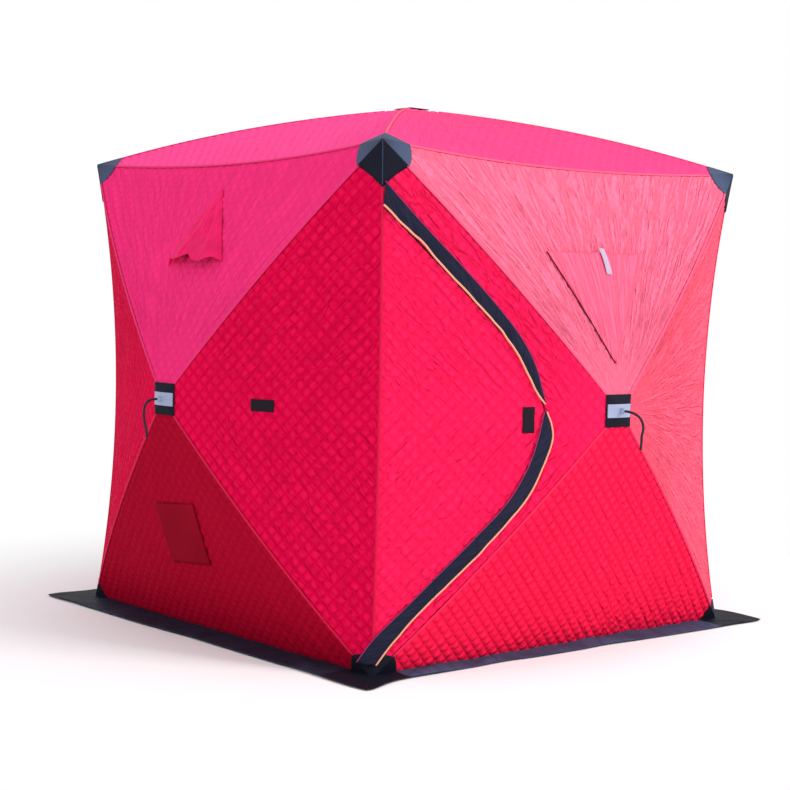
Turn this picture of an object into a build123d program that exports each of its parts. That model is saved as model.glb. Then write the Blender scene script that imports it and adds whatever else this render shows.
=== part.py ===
from build123d import *
import math
import os

# Ice fishing hut: a square pop-up shelter of quilted fabric, stretched over five hubs of bent poles.
# The origin is the middle of the ground square, +Z is up and the wall with the door faces -Y.
# All sizes are in millimetres.

# Frame of the shelter
BASE_HALF = 900.0          # half the side of the ground square, at the pole feet
TOP_LEAN = 8.0             # how far a top corner stands out past its pole foot
TOP_Z = 1790.0             # height of the top corners
HUB_Z = 890.0              # height of the wall hubs
HUB_OUT = 268.0            # how far a wall hub is pulled out past the ground square
ROOF_HUB_Z = 2040.0        # height of the roof hub
CORNER_SAG = 80.0          # how far the fabric draws in along an upright corner
EAVE_SAG = 50.0            # how far the fabric draws in along an eave
WALL_POLE_BOW = 30.0       # how far a wall pole bends outwards
ROOF_POLE_BOW = 36.0       # how far a roof pole bends upwards
HUB_OPENING = 45.0         # half the square that the panels leave free at a hub

# Fabric and fits
WALL = 5.0                 # quilted panel, three layers
FIT = 0.3                  # between pieces that lie on each other
MOVE_GAP = 6.0             # between the door and everything it passes

# Snow skirt
SKIRT_T = 3.0
SKIRT_LAP = 28.0           # how far the skirt runs in under the walls
SKIRT_REACH = 165.0        # how far it lies out on the snow
SKIRT_ROUND = 60.0         # its outer corners
EYELET_OUT = 110.0         # place of an eyelet past the pole foot, along X and Y
EYELET_BORE = 12.0
EYELET_RIM = 22.0
EYELET_T = 1.5

# Poles, hubs, sockets and feet
POLE_D = 11.0
POLE_FIT = 0.5             # between a pole and what it is plugged into
POLE_SINK = 15.0           # the middle of a pole lies this far inside the seam
HUB_R = 41.0
HUB_T = 34.0
HUB_ROOM = 6.6             # between a hub's rim and the straight line of a seam
HUB_CORE = 14.0            # poles end this far from the middle of a hub
HUB_BOLT_SHORT = 7.5       # the bolt of a wall hub ends this far inside the fabric's peak
SOCKET_R = 18.0
SOCKET_SINK = 36.0
SOCKET_CORE = 11.0         # poles end this far from the middle of a corner socket
FOOT_R = 9.0

# Black reinforcing pieces
CAP_T = 2.5
CAP_LIFT = 1.2
CAP_DOWN = 146.0           # reach of a top cap down the corner
CAP_POLE = 125.0           # along a wall pole
CAP_EAVE = 105.0           # along an eave
CAP_ROOF = 120.0           # along a roof pole
FOOT_PATCH_UP = 75.0       # reach of a bottom patch up the corner
FOOT_PATCH_POLE = 95.0
FOOT_PATCH_BASE = 90.0
HUB_PATCH_W = 128.0
HUB_PATCH_H = 116.0
HUB_PATCH_T = 2.5
HUB_PLATE_W = 116.0
HUB_PLATE_H = 48.0
HUB_PLATE_T = 5.0
HUB_RING_R = 11.0
HUB_RING_BORE = 5.0
HUB_RING_T = 6.0

# Door in the front wall: its zip leaves the corner below the top cap, runs beside the upper pole,
# turns near the hub and comes back beside the lower pole
ZIP_TOP_Z = 1579.0         # where the door's upper edge meets the corner
ZIP_FOOT_Z = 101.0         # where its lower edge meets the corner
ZIP_END_IN = 12.0          # the corner has drawn in this far at those heights
ZIP_TURN_X = -303.0        # the door's tip beside the hub
ZIP_TURN_Z = 902.0
ZIP_UPPER_X = -480.0       # where the straight upper edge goes over into its bend
ZIP_LOWER_X = -450.0       # where the bend goes over into the straight lower edge
HEM_W = 40.0               # strip of fabric that folds beside the corner
DOOR_BACK = 200.0          # the shape that cuts the door reaches this far past the corner
FLAP_W = 48.0
FLAP_END = 56.0            # the upper band narrows to its tip over this height
FLAP_T = 2.0
FLAP_START = 28.0          # the upper band comes out from under the cap this far from the corner

# Window in the front wall and in the back wall
WINDOW_X = 5.0
WINDOW_HALF = 236.0
WINDOW_TOP = 1440.0
WINDOW_POINT = 1062.0
WINDOW_HEM = 22.0          # overlap of the flap on the panel round the hole
WINDOW_FLAP_T = 3.0
PANE_T = 1.0
TOGGLE_W = 34.0
TOGGLE_H = 92.0
TOGGLE_X = 30.0
TOGGLE_Z = 1410.0
TOGGLE_T = 1.5

# Vent with its hood in the left wall and in the right wall
HOOD_X = 8.0
HOOD_HALF = 172.0
HOOD_TOP = 1664.0
HOOD_BASE = 1385.0
HOOD_OUT = 62.0            # how far the hood's mouth stands out
HOOD_T = 4.0
HOOD_TIP_SHARE = 0.05      # the hood is blunt over this share of its length
VENT_HALF = 95.0
VENT_TOP = 1560.0
VENT_BASE = 1412.0
MESH_T = 1.0

# Sewn patch in the lower panel of the left wall and the right wall
PATCH_X = -30.0
PATCH_Z = 388.0
PATCH_W = 262.0
PATCH_H = 232.0
PATCH_TURN = 5.0
PATCH_T = 1.5

# Hook-and-loop tabs: one on the left wall, one on the door
TAB_L = 90.0
TAB_W = 42.0
TAB_T = 2.0
WALL_TAB_X = 438.0
WALL_TAB_Z = 890.0
DOOR_TAB_X = -357.0
DOOR_TAB_Z = 862.0

# Pull strap of a wall hub: its route from the fabric's peak, written for the front wall
STRAP_D = 9.0
STRAP_ROUTE = [(0, -21, 0), (0, -45, 0), (11, -73, -12), (19, -86, -33),
               (23, -89, -58), (20, -83, -84), (26, -78, -110), (24, -76, -135)]
STRAP_RUN_SHARE = 0.45     # the share of the shorter run that a bend takes up

TOP_HALF = BASE_HALF + TOP_LEAN
SKIRT_INNER = BASE_HALF - SKIRT_LAP
SKIRT_OUTER = BASE_HALF + SKIRT_REACH
EYELET_AT = BASE_HALF + EYELET_OUT
ZIP_END_X = ZIP_END_IN - BASE_HALF
BASE_Z = SKIRT_T + FIT     # the fabric's lower edge stands on the skirt
CENTRE = Vector(0, 0, HUB_Z)
CUT_DEPTH = 3000.0         # longer than the shelter, for cuts that go right through
POLE_R = POLE_D / 2
SIDES = {"front": 0, "left": -90, "back": 180, "right": 90}


# The fabric is a set of curved panels. Every seam lies in a plane through the centre, so that a
# panel is its outer face carried towards the centre, and neighbours meet face to face.

def inwards(point, distance):
    """A step from a point towards the centre of the shelter."""
    return (CENTRE - point).normalized() * distance


def panel_net(peak, start, end, sag, bow):
    """3 x 3 control points of a panel from a hub to the edge between two corners."""
    reach = (start - peak).length
    share = HUB_OPENING * 2 ** 0.5 / reach
    near = [peak + (start - peak) * share, peak + (end - peak) * share]
    near_mid = (near[0] + near[1]) * 0.5
    far_mid = (start + end) * 0.5
    far = far_mid + inwards(far_mid, 2 * sag)
    sides = []
    for inner, outer in zip(near, (start, end)):
        middle = (inner + outer) * 0.5
        sides.append(middle - inwards(middle, 2 * bow))
    corners = (near[0] + near[1] + start + end) * 0.25
    heart = (near_mid + far) * 0.5 + (sides[0] + sides[1]) * 0.5 - corners
    return [[near[0], near_mid, near[1]], [sides[0], heart, sides[1]], [start, far, end]]


def depth_of(net):
    """Distance of a panel's plane from the centre."""
    across = (net[2][2] - net[2][0]).cross(net[0][0] - net[2][0]).normalized()
    return abs((net[2][0] - CENTRE).dot(across))


def lifted(net, lift, depth=None):
    """The same net, moved outwards by lift, measured square to the panel."""
    scale = 1 + lift / (depth or depth_of(net))
    return [[CENTRE + (point - CENTRE) * scale for point in row] for row in net]


def closed_solid(faces):
    body = Solid(Shell(faces))
    return body if body.volume > 0 else Solid(body.wrapped.Reversed())


def net_solid(net, depth, lift, thickness):
    """The solid between two layers of a net, closed by ruled faces round its rim."""
    low, high = lifted(net, lift, depth), lifted(net, lift + thickness, depth)
    rims = [([row[0] for row in low], [row[0] for row in high]),
            ([row[-1] for row in low], [row[-1] for row in high]),
            (low[0], high[0]), (low[-1], high[-1])]
    faces = [Face.make_bezier_surface(low), Face.make_bezier_surface(high)]
    faces += [Face.make_bezier_surface([a, b]) for a, b in rims]
    return closed_solid(faces)


def sheet_solid(net, lift, thickness):
    """A layer of a panel, lift above its outer face."""
    return net_solid(net, depth_of(net), lift, thickness)


def fan_solid(peak, rim, lift, thickness, closed=True):
    """A thin folded plate over the triangles between a peak and the points round it."""
    reach = (peak - CENTRE).length
    layers = []
    for height in (lift, lift + thickness):
        scale = 1 + height / reach
        layers.append([CENTRE + (point - CENTRE) * scale for point in [peak] + rim])
    low, high = layers
    faces = []
    count = len(rim)
    for i in range(count if closed else count - 1):
        a, b = i + 1, (i + 1) % count + 1
        for layer in layers:
            faces.append(Face(Wire.make_polygon([layer[0], layer[a], layer[b]])))
        faces.append(Face(Wire.make_polygon([low[a], low[b], high[b], high[a]])))
    if not closed:
        for end in (1, count):
            faces.append(Face(Wire.make_polygon([low[0], low[end], high[end], high[0]])))
    return closed_solid(faces)


def cut_through(outline):
    """A prism of an outline drawn on the front wall, x to the right and z up."""
    return extrude(Plane.XZ * outline, CUT_DEPTH)


def polygon(*points):
    return make_face(Polyline(*points, close=True))


def on_side(body, side):
    """Turns a piece made for the front wall to another wall."""
    return Rot(0, 0, SIDES[side]) * body


# Corners and hubs
TOP_LEFT = Vector(-TOP_HALF, -TOP_HALF, TOP_Z)
TOP_RIGHT = Vector(TOP_HALF, -TOP_HALF, TOP_Z)
FOOT_LEFT = Vector(-BASE_HALF, -BASE_HALF, BASE_Z)
FOOT_RIGHT = Vector(BASE_HALF, -BASE_HALF, BASE_Z)
WALL_HUB = Vector(0, -BASE_HALF - HUB_OUT, HUB_Z)
ROOF_HUB = Vector(0, 0, ROOF_HUB_Z)

ROOF_NET = panel_net(ROOF_HUB, TOP_LEFT, TOP_RIGHT, EAVE_SAG, ROOF_POLE_BOW)
TOP_NET = panel_net(WALL_HUB, TOP_LEFT, TOP_RIGHT, EAVE_SAG, WALL_POLE_BOW)
BOTTOM_NET = panel_net(WALL_HUB, FOOT_LEFT, FOOT_RIGHT, 0, WALL_POLE_BOW)
LEFT_NET = panel_net(WALL_HUB, TOP_LEFT, FOOT_LEFT, CORNER_SAG, WALL_POLE_BOW)
RIGHT_NET = panel_net(WALL_HUB, TOP_RIGHT, FOOT_RIGHT, CORNER_SAG, WALL_POLE_BOW)


def window_outline(inset):
    """The window's triangle with its point down, made smaller all round by inset."""
    half = WINDOW_HALF - inset * 1.9
    return polygon((WINDOW_X - half, WINDOW_TOP - inset), (WINDOW_X + half, WINDOW_TOP - inset),
                   (WINDOW_X, WINDOW_POINT + inset * 1.9))


def vent_outline(grow):
    return polygon((HOOD_X - VENT_HALF - grow, VENT_BASE - grow),
                   (HOOD_X + VENT_HALF + grow, VENT_BASE - grow),
                   (HOOD_X, VENT_TOP + 2 * grow))


def window_panel():
    return sheet_solid(TOP_NET, -WALL, WALL) - cut_through(window_outline(WINDOW_HEM))


def vent_panel():
    return sheet_solid(TOP_NET, -WALL, WALL) - cut_through(vent_outline(0))


def on_surface(net, x, z):
    """The point of a panel's outer face that is seen at x and z from the front."""
    face = Face.make_bezier_surface(net)
    return face.find_intersection_points(Axis((x, 0, z), (0, -1, 0)))[0][0]


def hood():
    """A quilted gusset that stands out at its mouth, over the vent. Its sides follow the panel."""
    net = lifted(TOP_NET, 2 * FIT)
    middle_z = HOOD_BASE + (HOOD_TOP - HOOD_BASE) * (1 + HOOD_TIP_SHARE) / 2
    rows = []
    for z in (HOOD_TOP - (HOOD_TOP - HOOD_BASE) * HOOD_TIP_SHARE, middle_z, HOOD_BASE):
        share = (HOOD_TOP - z) / (HOOD_TOP - HOOD_BASE)
        sides = [on_surface(net, HOOD_X + turn * share * HOOD_HALF, z) for turn in (-1, 0, 1)]
        sides[1] -= inwards(sides[1], 2 * HOOD_OUT * share)
        rows.append(sides)
    near, through, far = rows
    through = [b * 2 - (a + c) * 0.5 for a, b, c in zip(near, through, far)]
    return net_solid([near, through, far], depth_of(TOP_NET), 0, HOOD_T)


# Door
def door_edge(shift):
    """The door's free edge from the corner below the cap to the corner above the foot.

    Shift moves the edge away from the hinge, measured square to it.
    """
    side = shift * 2 ** 0.5
    top = (ZIP_END_X, ZIP_TOP_Z + side)
    upper = (ZIP_UPPER_X, ZIP_TOP_Z + side - (ZIP_UPPER_X - ZIP_END_X))
    tip = (ZIP_TURN_X + shift, ZIP_TURN_Z)
    lower = (ZIP_LOWER_X, ZIP_FOOT_Z - side + (ZIP_LOWER_X - ZIP_END_X))
    foot = (ZIP_END_X, ZIP_FOOT_Z - side)
    return [Line(top, upper), TangentArc(upper, tip, tangent=(1, -1)),
            TangentArc(lower, tip, tangent=(1, 1)), Line(lower, foot)]


def door_region(shift):
    """Everything on the hinge side of the door's free edge."""
    edge = door_edge(shift)
    top, foot = edge[0] @ 0, edge[3] @ 1
    back = ZIP_END_X - DOOR_BACK
    high, low = (back, top.Y + DOOR_BACK), (back, foot.Y - DOOR_BACK)
    ends = [Line(top, high), Line(high, low), Line(low, foot)]
    return make_face(edge + ends)


def corner_strip(near, far):
    """The front wall between two distances from the sagging corner line."""
    drop = CORNER_SAG / 2 ** 0.5

    def line(distance):
        return [(-TOP_HALF + distance, TOP_Z),
                (-(TOP_HALF + BASE_HALF) / 2 + drop + distance, (TOP_Z + BASE_Z) / 2),
                (-BASE_HALF + distance, BASE_Z)]

    a, b = line(near), line(far)
    return make_face([ThreePointArc(*a), Line(a[2], b[2]), ThreePointArc(*b), Line(b[0], a[0])])


def upper_flap_outline():
    """Band over the upper zip: sewn along its outer edge, free along the door's edge."""
    side = MOVE_GAP * 2 ** 0.5
    width = FLAP_W * 2 ** 0.5
    low = (ZIP_END_X + FLAP_START, ZIP_TOP_Z + side - FLAP_START)
    low_end = (ZIP_UPPER_X, ZIP_TOP_Z + side - (ZIP_UPPER_X - ZIP_END_X))
    tip = (ZIP_TURN_X + MOVE_GAP, ZIP_TURN_Z + 18)
    high = (ZIP_END_X + FLAP_START, ZIP_TOP_Z + side + width - FLAP_START)
    high_end = (ZIP_UPPER_X - 30, ZIP_TOP_Z + side + width - (ZIP_UPPER_X - 30 - ZIP_END_X))
    shoulder = (ZIP_TURN_X, ZIP_TURN_Z + FLAP_END)
    return make_face([Line(high, high_end), TangentArc(high_end, shoulder, tangent=(1, -1)),
                      Line(shoulder, tip), TangentArc(low_end, tip, tangent=(1, -1)),
                      Line(low_end, low), Line(low, high)])


def lower_flap_outline():
    """Band over the lower zip: sewn to the door, its free edge laps the fixed fabric."""
    width = FLAP_W / 2 * 2 ** 0.5
    tip = (ZIP_TURN_X + 2, ZIP_TURN_Z - 12)
    out = (ZIP_LOWER_X + 20, ZIP_FOOT_Z - width + (ZIP_LOWER_X + 20 - ZIP_END_X))
    out_end = (ZIP_END_X + width, ZIP_FOOT_Z)
    inner_end = (ZIP_END_X + 12, ZIP_FOOT_Z + width + 12)
    inner = (ZIP_LOWER_X - 30, ZIP_FOOT_Z + width + (ZIP_LOWER_X - 30 - ZIP_END_X))
    bulge = (ZIP_TURN_X + FLAP_W - 4, ZIP_TURN_Z - 112)
    return make_face([Line(inner_end, inner), TangentArc(inner, tip, tangent=(1, 1)),
                      Line(tip, (tip[0] + 6, tip[1])),
                      ThreePointArc((tip[0] + 6, tip[1]), bulge, out), Line(out, out_end),
                      Line(out_end, inner_end)])


FIXED_PANEL = sheet_solid(LEFT_NET, -WALL, WALL)
DOOR_PANEL = FIXED_PANEL & cut_through(door_region(0))
SURROUND = FIXED_PANEL - cut_through(door_region(MOVE_GAP))
ABOVE_TIP = Pos(0, 0, ZIP_TURN_Z + CUT_DEPTH / 2) * Box(CUT_DEPTH, CUT_DEPTH, CUT_DEPTH)
BEYOND_HEM = cut_through(corner_strip(HEM_W + FIT, BASE_HALF))
HALF_SPACE = Pos(0, -FIT - CUT_DEPTH / 2, 0) * Box(CUT_DEPTH, CUT_DEPTH, 2 * CUT_DEPTH)
OFF_CORNER = Rot(0, 0, 45) * HALF_SPACE


def on_net(net, lift, thickness, outline):
    """A flat sewn piece that follows a panel, cut to an outline drawn on the front wall."""
    return sheet_solid(net, lift, thickness) & cut_through(outline)


def tab_outline(x, z, width, height):
    return Pos(x, z) * Rectangle(width, height)


# Reinforcing caps and patches
def along(start, control, end, distance):
    """The point of a seam at about a distance from its start."""
    t = distance / (end - start).length
    return start * (1 - t) ** 2 + control * (2 * t * (1 - t)) + end * t ** 2


def mirrored(point):
    """The same point on the other wall of the near corner."""
    return Vector(point.Y, point.X, point.Z)


def seam_out(net, column):
    """A seam's three control points, from its hub to its corner."""
    return [row[column] for row in net]


def seam_in(net, column):
    """The same points from the corner to the hub."""
    return seam_out(net, column)[::-1]


def top_cap():
    corner = TOP_LEFT
    crease = (corner, LEFT_NET[2][1], FOOT_LEFT)
    eave = (corner, TOP_NET[2][1], TOP_RIGHT)
    roof_tip = along(*seam_in(ROOF_NET, 0), CAP_ROOF)
    eave_tip = along(*eave, CAP_EAVE)
    pole_tip = along(*seam_in(TOP_NET, 0), CAP_POLE)
    low_tip = along(*crease, CAP_DOWN)
    rim = [roof_tip, eave_tip, pole_tip, low_tip, mirrored(pole_tip), mirrored(eave_tip)]
    return fan_solid(corner, rim, CAP_LIFT, CAP_T)


def foot_patch():
    corner = FOOT_LEFT
    crease = (corner, LEFT_NET[2][1], TOP_LEFT)
    base = (corner, BOTTOM_NET[2][1], FOOT_RIGHT)
    base_tip = along(*base, FOOT_PATCH_BASE)
    pole_tip = along(*seam_in(BOTTOM_NET, 0), FOOT_PATCH_POLE)
    high_tip = along(*crease, FOOT_PATCH_UP)
    rim = [base_tip, pole_tip, high_tip, mirrored(pole_tip), mirrored(base_tip)]
    plate = fan_solid(corner, rim, CAP_LIFT, CAP_T, closed=False)
    ground = Pos(0, 0, BASE_Z - CUT_DEPTH / 2) * Box(CUT_DEPTH, CUT_DEPTH, CUT_DEPTH)
    return plate - ground


def hub_sink(peak, corner):
    """How deep the middle of a hub lies below the peak, so that its rim keeps clear of the fabric."""
    run = corner - peak
    down = run.dot(inwards(peak, 1))
    across = math.sqrt(run.length ** 2 - down ** 2)
    return HUB_T / 2 + HUB_R * down / across + HUB_ROOM


WALL_HUB_SINK = hub_sink(WALL_HUB, TOP_LEFT)
ROOF_HUB_SINK = hub_sink(ROOF_HUB, TOP_LEFT)


def hub_fan(peak, seams, lift, thickness):
    """A pyramid plate over a hub. It lies on the seams that meet there, past their ends."""
    outwards = -inwards(peak, 1)
    rim = []
    height = 0
    for near, control, far in seams:
        end = along(near, control, far, HUB_OPENING)
        run_in = near + (near - end) * (HUB_OPENING * 2 ** 0.5 / (end - near).length)
        height = max(height, (run_in - CENTRE).dot(outwards))
        rim.append(end)
    return fan_solid(CENTRE + outwards * height, rim, lift, thickness)


WALL_SEAMS = [seam_out(TOP_NET, 0), seam_out(TOP_NET, 2),
              seam_out(BOTTOM_NET, 2), seam_out(BOTTOM_NET, 0)]
ROOF_SEAMS = [[point.rotate(Axis.Z, 90 * turn) for point in seam_out(ROOF_NET, 0)] for turn in range(4)]


def wall_hub_patch():
    outline = tab_outline(0, HUB_Z, HUB_PATCH_W, HUB_PATCH_H)
    return hub_fan(WALL_HUB, WALL_SEAMS, FIT, HUB_PATCH_T) & cut_through(outline)


def wall_hub_plate():
    """The grey plate on the patch, with the eye of the pull strap."""
    lift = FIT + HUB_PATCH_T + FIT
    outline = tab_outline(0, HUB_Z, HUB_PLATE_W, HUB_PLATE_H)
    plate = hub_fan(WALL_HUB, WALL_SEAMS, lift, HUB_PLATE_T) & cut_through(outline)
    at_eye = Pos(0, WALL_HUB.Y + STRAP_ROUTE[0][1] + FIT + HUB_RING_R, HUB_Z) * Rot(0, 90, 0)
    eye = at_eye * Cylinder(HUB_RING_R, HUB_RING_T)
    foot = at_eye * Pos(0, HUB_RING_R / 2, 0) * Box(2 * HUB_RING_R, HUB_RING_R, HUB_RING_T)
    inside = hub_fan(WALL_HUB, WALL_SEAMS, lift - WALL_HUB_SINK, WALL_HUB_SINK)
    return plate + ((eye + foot) - at_eye * Cylinder(HUB_RING_BORE, HUB_RING_T) - inside)


def roof_hub_patch():
    plate = hub_fan(ROOF_HUB, ROOF_SEAMS, FIT, HUB_PATCH_T)
    return plate & Pos(0, 0, ROOF_HUB_Z) * Box(HUB_PATCH_W, HUB_PATCH_W, 2 * HUB_PATCH_W)


# Poles
def pole_path(hub, sink, net, column):
    corner, control, near = seam_in(net, column)
    start = hub + inwards(hub, sink)
    end = corner + inwards(corner, SOCKET_SINK)
    crown = corner * 0.25 + control * 0.5 + near * 0.25
    return ThreePointArc(start, crown + inwards(crown, POLE_SINK), end)


def pole_tube(path, radius):
    return sweep(Plane(origin=path @ 0, z_dir=path % 0) * Circle(radius), path=path)


def trimmed_tube(path, radius, short):
    """A pole's tube that stops before the middle of its hub and of its socket."""
    tube = pole_tube(path, radius)
    tube -= Pos(path @ 0) * Sphere(HUB_CORE - short)
    return tube - Pos(path @ 1) * Sphere(SOCKET_CORE - short)


def pole(path):
    return trimmed_tube(path, POLE_R, 0)


def bore(path):
    """What a hub or a socket leaves free for a pole."""
    return trimmed_tube(path, POLE_R + POLE_FIT, POLE_FIT)


TOP_PATHS = [pole_path(WALL_HUB, WALL_HUB_SINK, TOP_NET, column) for column in (0, 2)]
LOW_PATHS = [pole_path(WALL_HUB, WALL_HUB_SINK, BOTTOM_NET, column) for column in (0, 2)]
ROOF_PATH = pole_path(ROOF_HUB, ROOF_HUB_SINK, ROOF_NET, 0)
TOP_BORES = [bore(path) for path in TOP_PATHS]
LOW_BORES = [bore(path) for path in LOW_PATHS]
ROOF_BORE = bore(ROOF_PATH)


def wall_hub():
    """A drum behind the fabric's peak, with the sockets of four poles and the bolt of the plate."""
    middle_y = WALL_HUB.Y + WALL_HUB_SINK
    drum = Pos(0, middle_y, HUB_Z) * Rot(90, 0, 0) * Cylinder(HUB_R, HUB_T)
    bolt_end = WALL_HUB.Y + HUB_BOLT_SHORT
    bolt_start = middle_y - HUB_T / 2
    bolt_length = bolt_start - bolt_end
    bolt = Pos(0, bolt_end + bolt_length / 2, HUB_Z) * Rot(90, 0, 0) * Cylinder(POLE_R, bolt_length)
    body = drum + bolt
    return body - (TOP_BORES + LOW_BORES)


def roof_hub():
    middle_z = ROOF_HUB_Z - ROOF_HUB_SINK
    body = Pos(0, 0, middle_z) * Cylinder(HUB_R, HUB_T)
    return body - [Rot(0, 0, 90 * turn) * ROOF_BORE for turn in range(4)]


def socket_ball(middle):
    """A ball whose seam faces away from the poles."""
    return Pos(middle) * Rot(0, 0, 225) * Sphere(SOCKET_R)


def corner_socket():
    body = socket_ball(ROOF_PATH @ 1)
    return body - [TOP_BORES[0], ROOF_BORE, on_side(TOP_BORES[1], "left")]


def pole_foot():
    middle = LOW_PATHS[0] @ 1
    height = middle.Z - BASE_Z
    stub = Pos(middle.X, middle.Y, BASE_Z + height / 2) * Cylinder(FOOT_R, height)
    body = socket_ball(middle) + stub
    return body - [LOW_BORES[0], on_side(LOW_BORES[1], "left")]


# Skirt and eyelets
def skirt_strip(half_length):
    width = SKIRT_OUTER - SKIRT_INNER
    middle = (SKIRT_OUTER + SKIRT_INNER) / 2
    return Pos(0, -middle, SKIRT_T / 2) * Box(2 * half_length, width, SKIRT_T)


def skirt_with_eyelets():
    strip = skirt_strip(SKIRT_OUTER)
    strip = fillet(strip.edges().filter_by(Axis.Z).group_by(Axis.Y)[0], SKIRT_ROUND)
    bore = EYELET_BORE / 2 + EYELET_T + FIT
    for x in (-EYELET_AT, EYELET_AT):
        strip -= Pos(x, -EYELET_AT, SKIRT_T / 2) * Cylinder(bore, SKIRT_T * 2)
    return strip


def eyelet():
    height = SKIRT_T + FIT + EYELET_T
    neck = Pos(0, 0, height / 2) * Cylinder(EYELET_BORE / 2 + EYELET_T, height)
    rim = Pos(0, 0, height - EYELET_T / 2) * Cylinder(EYELET_RIM / 2, EYELET_T)
    hole = Pos(0, 0, height / 2) * Cylinder(EYELET_BORE / 2, height)
    return Pos(-EYELET_AT, -EYELET_AT, 0) * ((neck + rim) - hole)


# Pull strap
def strap():
    points = [WALL_HUB + Vector(*step) for step in STRAP_ROUTE]
    radii = []
    for i in range(1, len(points) - 1):
        before, after = points[i] - points[i - 1], points[i + 1] - points[i]
        run = min(before.length, after.length)
        radii.append(STRAP_RUN_SHARE * run / tan_of_half(before.get_angle(after)))
    print("pull strap bend radii", [round(r, 1) for r in radii])
    path = FilletPolyline(*points, radius=radii)
    return sweep(Plane(origin=path @ 0, z_dir=path % 0) * Circle(STRAP_D / 2), path=path)


def tan_of_half(angle):
    return math.tan(math.radians(angle) / 2)


def four(body, turns=(0, 1, 2, 3)):
    """Copies of a piece at quarter turns about the middle."""
    return Compound([Rot(0, 0, -90 * turn) * body for turn in turns])


def write(name, body):
    export_step(body, "parts/" + name + ".step")


os.makedirs("parts", exist_ok=True)

plain_top = sheet_solid(TOP_NET, -WALL, WALL)
bottom = sheet_solid(BOTTOM_NET, -WALL, WALL)
right_side = sheet_solid(RIGHT_NET, -WALL, WALL)
roof = sheet_solid(ROOF_NET, -WALL, WALL)
tops = {"front": window_panel(), "back": window_panel(), "left": vent_panel(), "right": vent_panel()}
strap_body = strap()
for side in SIDES:
    write("roof_" + side, on_side(roof, side))
    write(side + "_top_panel", on_side(tops[side], side))
    write(side + "_bottom_panel", on_side(bottom, side))
    write("pull_strap_" + side, on_side(strap_body, side))
    write(side + "_poles", on_side(Compound([pole(p) for p in TOP_PATHS + LOW_PATHS]), side))
for side in ("left", "back", "right"):
    write(side + "_side_panels", on_side(Compound([FIXED_PANEL, right_side]), side))
write("front_side_panel", right_side)
write("door_surround_upper", SURROUND & ABOVE_TIP)
write("door_surround_lower", SURROUND - ABOVE_TIP)
write("door_hem", DOOR_PANEL & cut_through(corner_strip(-HEM_W, HEM_W)) & OFF_CORNER)
write("door_leaf", DOOR_PANEL & BEYOND_HEM)
write("storm_flap_upper", on_net(LEFT_NET, FIT, FLAP_T, upper_flap_outline()))
write("storm_flap_lower", on_net(LEFT_NET, FIT, FLAP_T, lower_flap_outline()) & BEYOND_HEM)
write("door_tab", on_net(LEFT_NET, FIT, TAB_T, tab_outline(DOOR_TAB_X, DOOR_TAB_Z, TAB_W, TAB_L)))
wall_tab = on_net(RIGHT_NET, FIT, TAB_T, tab_outline(WALL_TAB_X, WALL_TAB_Z, TAB_L, TAB_W))
write("wall_tab", on_side(wall_tab, "left"))

window_flap = on_net(TOP_NET, FIT, WINDOW_FLAP_T, window_outline(0))
window_pane = on_net(TOP_NET, -WALL - FIT - PANE_T, PANE_T, window_outline(WINDOW_HEM / 2))
toggle_outline = tab_outline(TOGGLE_X, TOGGLE_Z, TOGGLE_W, TOGGLE_H)
window_toggle = on_net(TOP_NET, FIT + WINDOW_FLAP_T + FIT, TOGGLE_T, toggle_outline)
vent_mesh = on_net(TOP_NET, -WALL - FIT - MESH_T, MESH_T, vent_outline(WALL))
patch_outline = Pos(PATCH_X, PATCH_Z) * Rot(0, 0, PATCH_TURN) * Rectangle(PATCH_W, PATCH_H)
patch = on_net(BOTTOM_NET, FIT, PATCH_T, patch_outline)
write("window_flaps", four(window_flap, (0, 2)))
write("window_panes", four(window_pane, (0, 2)))
write("window_toggles", four(window_toggle, (0, 2)))
write("vent_hoods", four(hood(), (1, 3)))
write("vent_meshes", four(vent_mesh, (1, 3)))
write("lower_patches", four(patch, (1, 3)))

write("top_corner_caps", four(top_cap()))
write("bottom_corner_patches", four(foot_patch()))
write("hub_patches", Compound([four(wall_hub_patch()), roof_hub_patch()]))
write("hub_plates", four(wall_hub_plate()))
write("wall_hubs", four(wall_hub()))
write("roof_hub", roof_hub())
write("roof_poles", four(pole(ROOF_PATH)))
write("corner_sockets", four(corner_socket()))
write("pole_feet", four(pole_foot()))

write("snow_skirt_front", skirt_with_eyelets())
write("snow_skirt_back", on_side(skirt_with_eyelets(), "back"))
write("snow_skirt_left", on_side(skirt_strip(SKIRT_INNER), "left"))
write("snow_skirt_right", on_side(skirt_strip(SKIRT_INNER), "right"))
write("skirt_eyelets", four(eyelet()))
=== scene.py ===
"""Cloth, seams, flaps, skirt and finishes of the ice fishing hut, dressed over its frame.

Every cloth panel is a triangle of quilted fabric between two pole seams and one edge. Its surface is
a 3 x 3 Bezier patch, and its quilting runs parallel to the two pole seams. All lengths are in metres.
"""
import math

import bpy
import numpy as np
from mathutils import Matrix


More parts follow.
